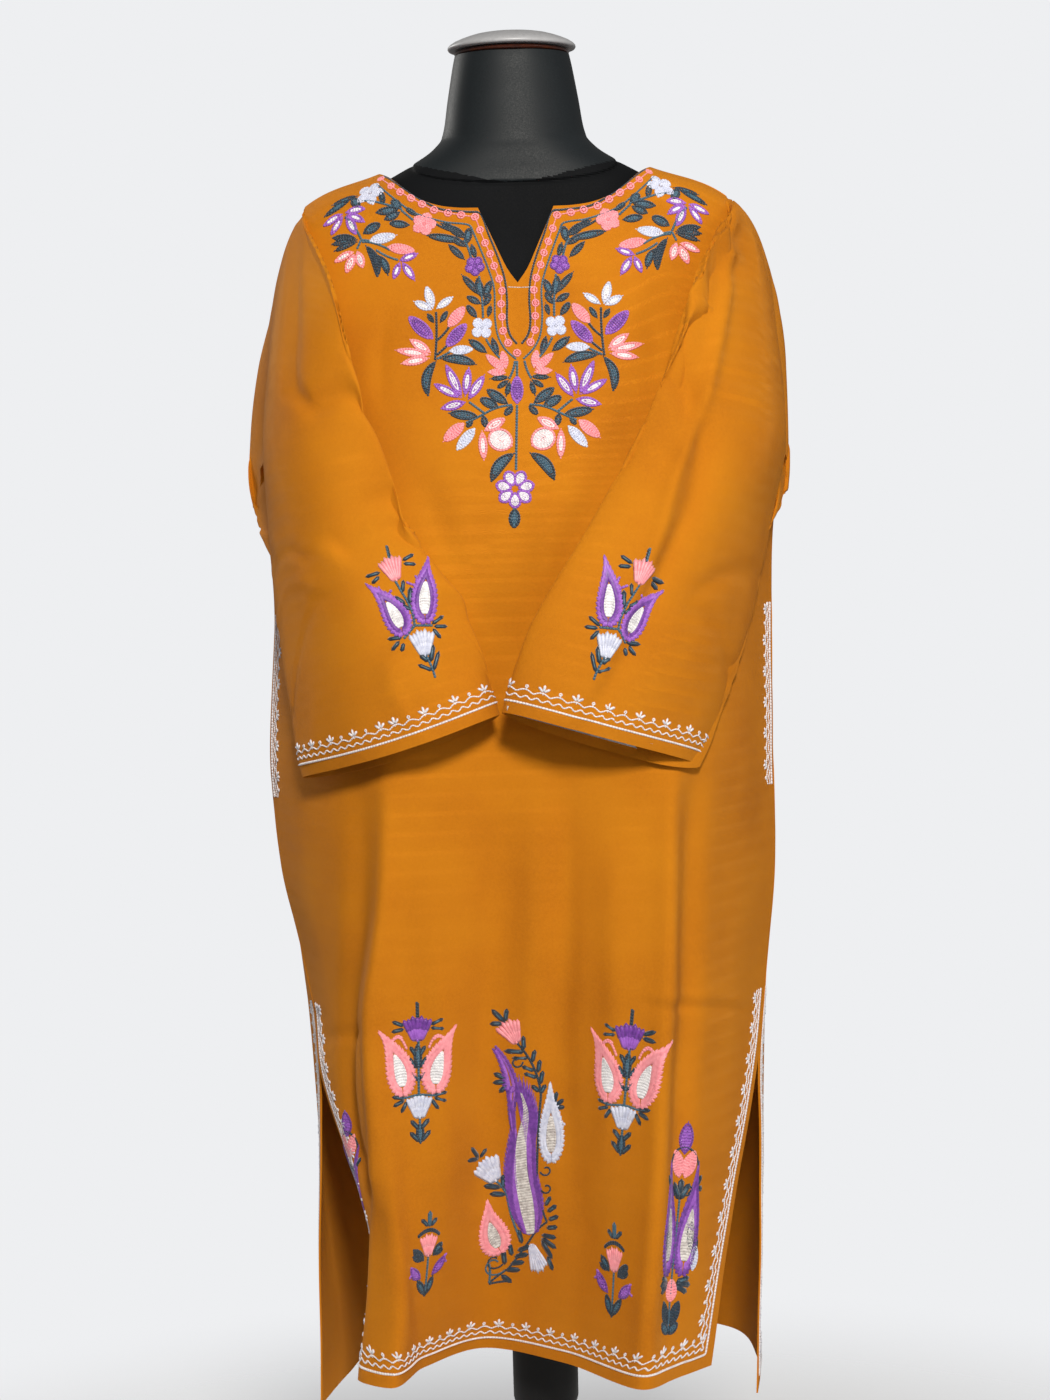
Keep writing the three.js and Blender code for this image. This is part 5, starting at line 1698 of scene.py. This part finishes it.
# The pocket bags
def fan_to(rim, hub):
    """Triangles from each side of a closed rim to a hub."""
    return np.stack([rim, np.roll(rim, -1), np.full(len(rim), hub)], -1)


def halved(quads):
    """Quads as two triangles each."""
    return np.concatenate([quads[:, [0, 1, 2]], quads[:, [0, 2, 3]]])


def bag_skin(side, less, end_in, end_toward):
    """Rings of a rounded rectangle on the way in from the side seam, smaller all round by less."""
    turn = np.arange(BAG_AROUND) / BAG_AROUND * 2 * math.pi
    into = finer(POCKET_BAG[:, 0], 1.6)
    toward, low, high, half = follow(POCKET_BAG[:, 0], POCKET_BAG[:, 1:], into).T[..., None]
    run = unit(np.gradient(np.stack([into, toward[:, 0]], -1), axis=0))
    run[0] = (1, 0)
    z = (low + high) / 2 + ((high - low) / 2 - less) * power(np.cos(turn), 0.7)
    thick = (half - less) * power(np.sin(turn), 0.7)
    k = 1 if side < 0 else 3
    seam = follow(SIDE_SEAM[:, 0], SIDE_SEAM[:, k:k + 2], z)
    last = ease((into - into[-1] + 3) / 3)[:, None]
    x = seam[..., 0] - side * (into[:, None] - end_in * last) + side * run[:, 1:] * thick
    y = seam[..., 1] + toward + end_toward * last + run[:, :1] * thick
    return np.stack([x, y, z], -1)


def pocket_bag(name, side):
    """A flat bag in two skins, joined at its mouth and closed at its far end."""
    outer = bag_skin(side, 0.0, 0.0, 0.0)
    inner = bag_skin(side, POCKET_WALL, 0.6 * POCKET_WALL, POCKET_WALL)
    rows = len(outer)
    count = rows * BAG_AROUND
    ends = [outer[-1].mean(0), inner[-1].mean(0)]
    points = np.concatenate([outer.reshape(-1, 3), inner.reshape(-1, 3), ends])
    mouth = np.arange(BAG_AROUND)
    ahead = np.roll(mouth, -1)
    quads = np.concatenate([
        grid_faces(rows, BAG_AROUND, True),
        grid_faces(rows, BAG_AROUND, True, count, True),
        np.stack([mouth, ahead, count + ahead, count + mouth], -1),
    ])
    end = mouth + count - BAG_AROUND
    caps = np.concatenate([fan_to(end, 2 * count), fan_to(end + count, 2 * count + 1)[:, [1, 0, 2]]])
    if side < 0:
        quads = quads[:, ::-1]
        caps = caps[:, ::-1]
    faces = np.concatenate([halved(quads), caps])
    made = put_mesh(name, points, faces, None, [POCKET_CLOTH], crease_degrees=60)
    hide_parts(name.replace("_bag", ""))
    return made


pocket_left_bag = pocket_bag("pocket_left_bag", -1)
pocket_right_bag = pocket_bag("pocket_right_bag", 1)

front_cloth = FRONT.mesh([WOOL])
back_cloth = BACK.mesh([WOOL])
left_cloth = LEFT.mesh([WOOL])
right_cloth = RIGHT.mesh([WOOL])
CLOTH_PIECES = (
    (front_cloth, "front"),
    (back_cloth, "back"),
    (left_cloth, "sleeve_left"),
    (right_cloth, "sleeve_right"),
)
for piece, node in CLOTH_PIECES:
    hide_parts(node)

# The dress form: rings of a rounded rectangle, from low to high: height, half width, front, back
FORM_RINGS = np.array([
    (690, 118, 70, 78), (692, 136, 82, 92), (702, 149, 92, 102), (760, 158, 99, 110),
    (850, 159, 100, 111), (940, 141, 93, 92), (1010, 128, 88, 80), (1090, 142, 103, 88),
    (1168, 157, 112, 100), (1235, 163, 100, 104), (1295, 164, 83.5, 97), (1330, 160, 72, 87),
    (1361, 151, 61, 74), (1380, 133, 57, 62), (1392, 114, 55, 57), (1404, 92, 55, 55),
    (1413, 77, 55, 54), (1420, 69, 55, 53), (1427, 64, 54, 53), (1462, 58, 51, 51),
    (1490, 53, 49, 49), (1499, 51, 47, 47),
], float)


def rings_mesh(rings, around, round_power):
    """Superellipse rings: x is the half width times cos to a power, y the depth times sin to it."""
    turn = np.arange(around) / around * 2 * math.pi
    sine = np.sin(turn)
    deep = np.where(sine < 0, rings[:, 2:3], rings[:, 3:4])
    return np.stack([
        rings[:, 1:2] * power(np.cos(turn), 2 / round_power),
        deep * power(sine, 2 / round_power),
        np.broadcast_to(rings[:, :1], deep.shape),
    ], -1)


def capped(name, grid, material, node, crease=40):
    """A closed solid from rings that run upward, with a fan of triangles at each end."""
    rows, columns = grid.shape[:2]
    count = rows * columns
    points = np.concatenate([grid.reshape(-1, 3), [grid[0].mean(0), grid[-1].mean(0)]])
    rim = np.arange(columns)
    faces = np.concatenate([
        halved(grid_faces(rows, columns, True, 0, True)),
        fan_to(rim, count)[:, [1, 0, 2]],
        fan_to(rim + count - columns, count + 1),
    ])
    made = put_mesh(name, points, faces, None, [material], crease_degrees=crease)
    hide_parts(node)
    return made


def turned_grid(profile, around=96):
    """Rings of a turned shape from rows of radius and height."""
    profile = np.array(profile, float)
    ring = circle(np.arange(around) / around * 2 * math.pi)
    heights = np.broadcast_to(profile[:, None, 1:], (len(profile), around, 1))
    return np.concatenate([profile[:, None, :1] * ring, heights], -1)


heights = np.concatenate([
    finer(np.array([690, 692, 702, 760, 1361.0]), 5.0)[:-1],
    finer(np.array([1361, 1427.0]), 1.3)[:-1],
    finer(np.array([1427, 1499.0]), 5.0),
])
rings = np.concatenate([heights[:, None], follow(FORM_RINGS[:, 0], FORM_RINGS[:, 1:], heights)], 1)
form_grid = rings_mesh(rings, FORM_AROUND, CHEST_ROUNDNESS)
# The neck block sits over the jersey: its lower rim dips in front and behind, with a fine groove under it
block_rim = lambda turn: NECK_BLOCK_LOW - NECK_BLOCK_DIP * np.abs(np.sin(turn)) ** 1.5
over = form_grid[..., 2] - block_rim(np.arange(FORM_AROUND) / FORM_AROUND * 2 * math.pi)
groove = 1.6 * np.exp(-((over + 1.6) / 1.5) ** 2)
step_out = 1.5 * ease((over + 0.6) / 1.2) * ease((34 - over) / 30) - groove
form_grid[..., :2] += unit(form_grid[..., :2]) * step_out[..., None]
# The jersey's seam down the middle of the front and back, drawn in by about a millimetre
form_grid[..., 1] *= 1 - 0.008 * np.exp(-(form_grid[..., 0] / 2.2) ** 2) * (over < 0)
form_cloth = capped("form_cloth", form_grid, JERSEY, "form_body")
form_cloth.data.materials.append(NECK_BLOCK)
centres = np.empty(len(form_cloth.data.polygons) * 3)
form_cloth.data.polygons.foreach_get("center", centres)
x, y, z = centres.reshape(-1, 3).T * 1000
is_block = z > block_rim(np.arctan2(y, x)) - 0.6
form_cloth.data.polygons.foreach_set("material_index", is_block.astype(np.int32))

# The stand: rows of radius and height, the disc and cap counted from the top of the neck
DISC = [(48, 0.3), (50, 0.8), (51, 1.8), (51.2, 2.6), (50.6, 3.8), (49, 4.6)]
CAP = [
    (54.5, 5.2), (56.2, 5.4), (57, 6.6), (56.8, 8), (55.4, 9.6), (52, 11.8),
    (47, 14), (41, 16.2), (35, 18), (30, 19), (24, 19.4), (10, 19.5),
]
POST = [(20, 272), (24, 272.4), (27, 273.6), (29, 276), (29.9, 280), (30, 300), (30, 500), (30, 689.7)]
POLE = [(12.2, 18.3), (12.5, 19), (12.5, 150), (12.5, 271), (12.2, 271.7)]
BASE = [(168, 0), (169.5, 0.6), (170, 2), (170, 7), (169, 8.6), (166, 9.4), (150, 12), (60, 16.8), (30, 18)]
disc = turned_grid(DISC) + (0, 0, NECK_TOP)
cap = turned_grid(CAP) + (0, 0, NECK_TOP)
capped("disc_turned", disc, LACQUER, "neck_disc")
capped("cap_spun", cap, CAP_METAL, "neck_cap", crease=60)
capped("post_tube", turned_grid(POST), BASE_METAL, "post")
capped("pole_tube", turned_grid(POLE, 48), POLE_METAL, "pole")
capped("base_plate", turned_grid(BASE, 128), BASE_METAL, "base")

# Camera
camera_data = bpy.data.cameras.new("camera")
camera_data.sensor_width = 36.0
camera_data.lens = 36.0 * FOCAL_PIXELS / PICTURE[1]
camera_data.clip_start = 0.05
camera_data.clip_end = 50.0
camera = bpy.data.objects.new("camera", camera_data)
bpy.context.scene.collection.objects.link(camera)
right = Vector((1, 0, 0))
rise = Vector((0, math.sin(CAMERA_PITCH), math.cos(CAMERA_PITCH)))
ahead = Vector((0, math.cos(CAMERA_PITCH), -math.sin(CAMERA_PITCH)))
across = right * math.cos(CAMERA_ROLL) - rise * math.sin(CAMERA_ROLL)
upward = rise * math.cos(CAMERA_ROLL) + right * math.sin(CAMERA_ROLL)
turned = Matrix((across, upward, -ahead)).transposed().to_4x4()
camera.matrix_world = Matrix.Translation(Vector(CAMERA_PLACE) / 1000) @ turned
bpy.context.scene.camera = camera

# Studio: a pale floor that fades out, soft lights, and a pale surround seen by the camera
FLOOR = [(-4, -4, -0.0005), (4, -4, -0.0005), (4, 4, -0.0005), (-4, 4, -0.0005)]
floor_mesh = bpy.data.meshes.new("floor")
floor_mesh.from_pydata(FLOOR, [], [(0, 1, 2, 3)])
floor = bpy.data.objects.new("floor", floor_mesh)
bpy.context.scene.collection.objects.link(floor)
n = Nodes(bpy.data.materials.new("pale_floor"))
place = n.add("TexCoord").outputs["Object"]
reach = n.add("VectorMath", {0: place}, operation="LENGTH").outputs["Value"]
fade = n.add("MapRange", {
    "Value": reach,
    "From Min": 0.5,
    "From Max": 1.3,
    "To Min": 1.0,
    "To Max": 0.0,
}, interpolation_type="SMOOTHSTEP")
floor_mesh.materials.append(finished(n, {
    "Base Color": linear("#e9eaeb"),
    "Roughness": 0.9,
    "Alpha": fade.outputs["Result"],
}))


def soft_light(name, place, aim, size, power, colour):
    """A square soft light at a place, turned toward a point."""
    data = bpy.data.lights.new(name, "AREA")
    data.shape = "RECTANGLE"
    data.size, data.size_y = size
    data.energy = power
    data.color = linear(colour)[:3]
    lamp = bpy.data.objects.new(name, data)
    lamp.location = place
    lamp.rotation_mode = "QUATERNION"
    lamp.rotation_quaternion = (Vector(aim) - Vector(place)).to_track_quat("-Z", "Y")
    bpy.context.scene.collection.objects.link(lamp)


soft_light("key", (0.3, -2.9, 2.7), (0, 0, 0.9), (0.5, 0.5), 108, "#fffaf2")
soft_light("fill", (2.4, -2.0, 1.2), (0, 0, 0.9), (1.0, 1.6), 18, "#f8f6f2")
soft_light("behind", (-2.6, 2.2, 2.2), (0, 0, 0.9), (1.2, 1.2), 45, "#f8f6f2")
world = bpy.data.worlds.new("pale_room")
bpy.context.scene.world = world
n = Nodes(world)
seen = n.add("LightPath").outputs["Is Camera Ray"]
lit_sky = n.add("Background", {"Color": linear("#f3f1f0"), "Strength": 0.22}).outputs[0]
shown_sky = n.add("Background", {"Color": linear("#eeeff1"), "Strength": 1.0}).outputs[0]
n.end("OutputWorld", n.add("MixShader", {"Fac": seen, 1: lit_sky, 2: shown_sky}).outputs[0])
bpy.context.scene.view_settings.view_transform = "Standard"
bpy.context.scene.view_settings.look = "None"

SHEETS = (
    (front_cloth, FRONT, (form_cloth,), (yoke_stitches, skirt_stitches, front_edging)),
    (back_cloth, BACK, (form_cloth,), (back_edging,)),
    (left_cloth, LEFT, (front_cloth, back_cloth), (left_stitches,)),
    (right_cloth, RIGHT, (front_cloth, back_cloth), (right_stitches,)),
)
for made, cloth, under, pieces in SHEETS:
    cloth.area()
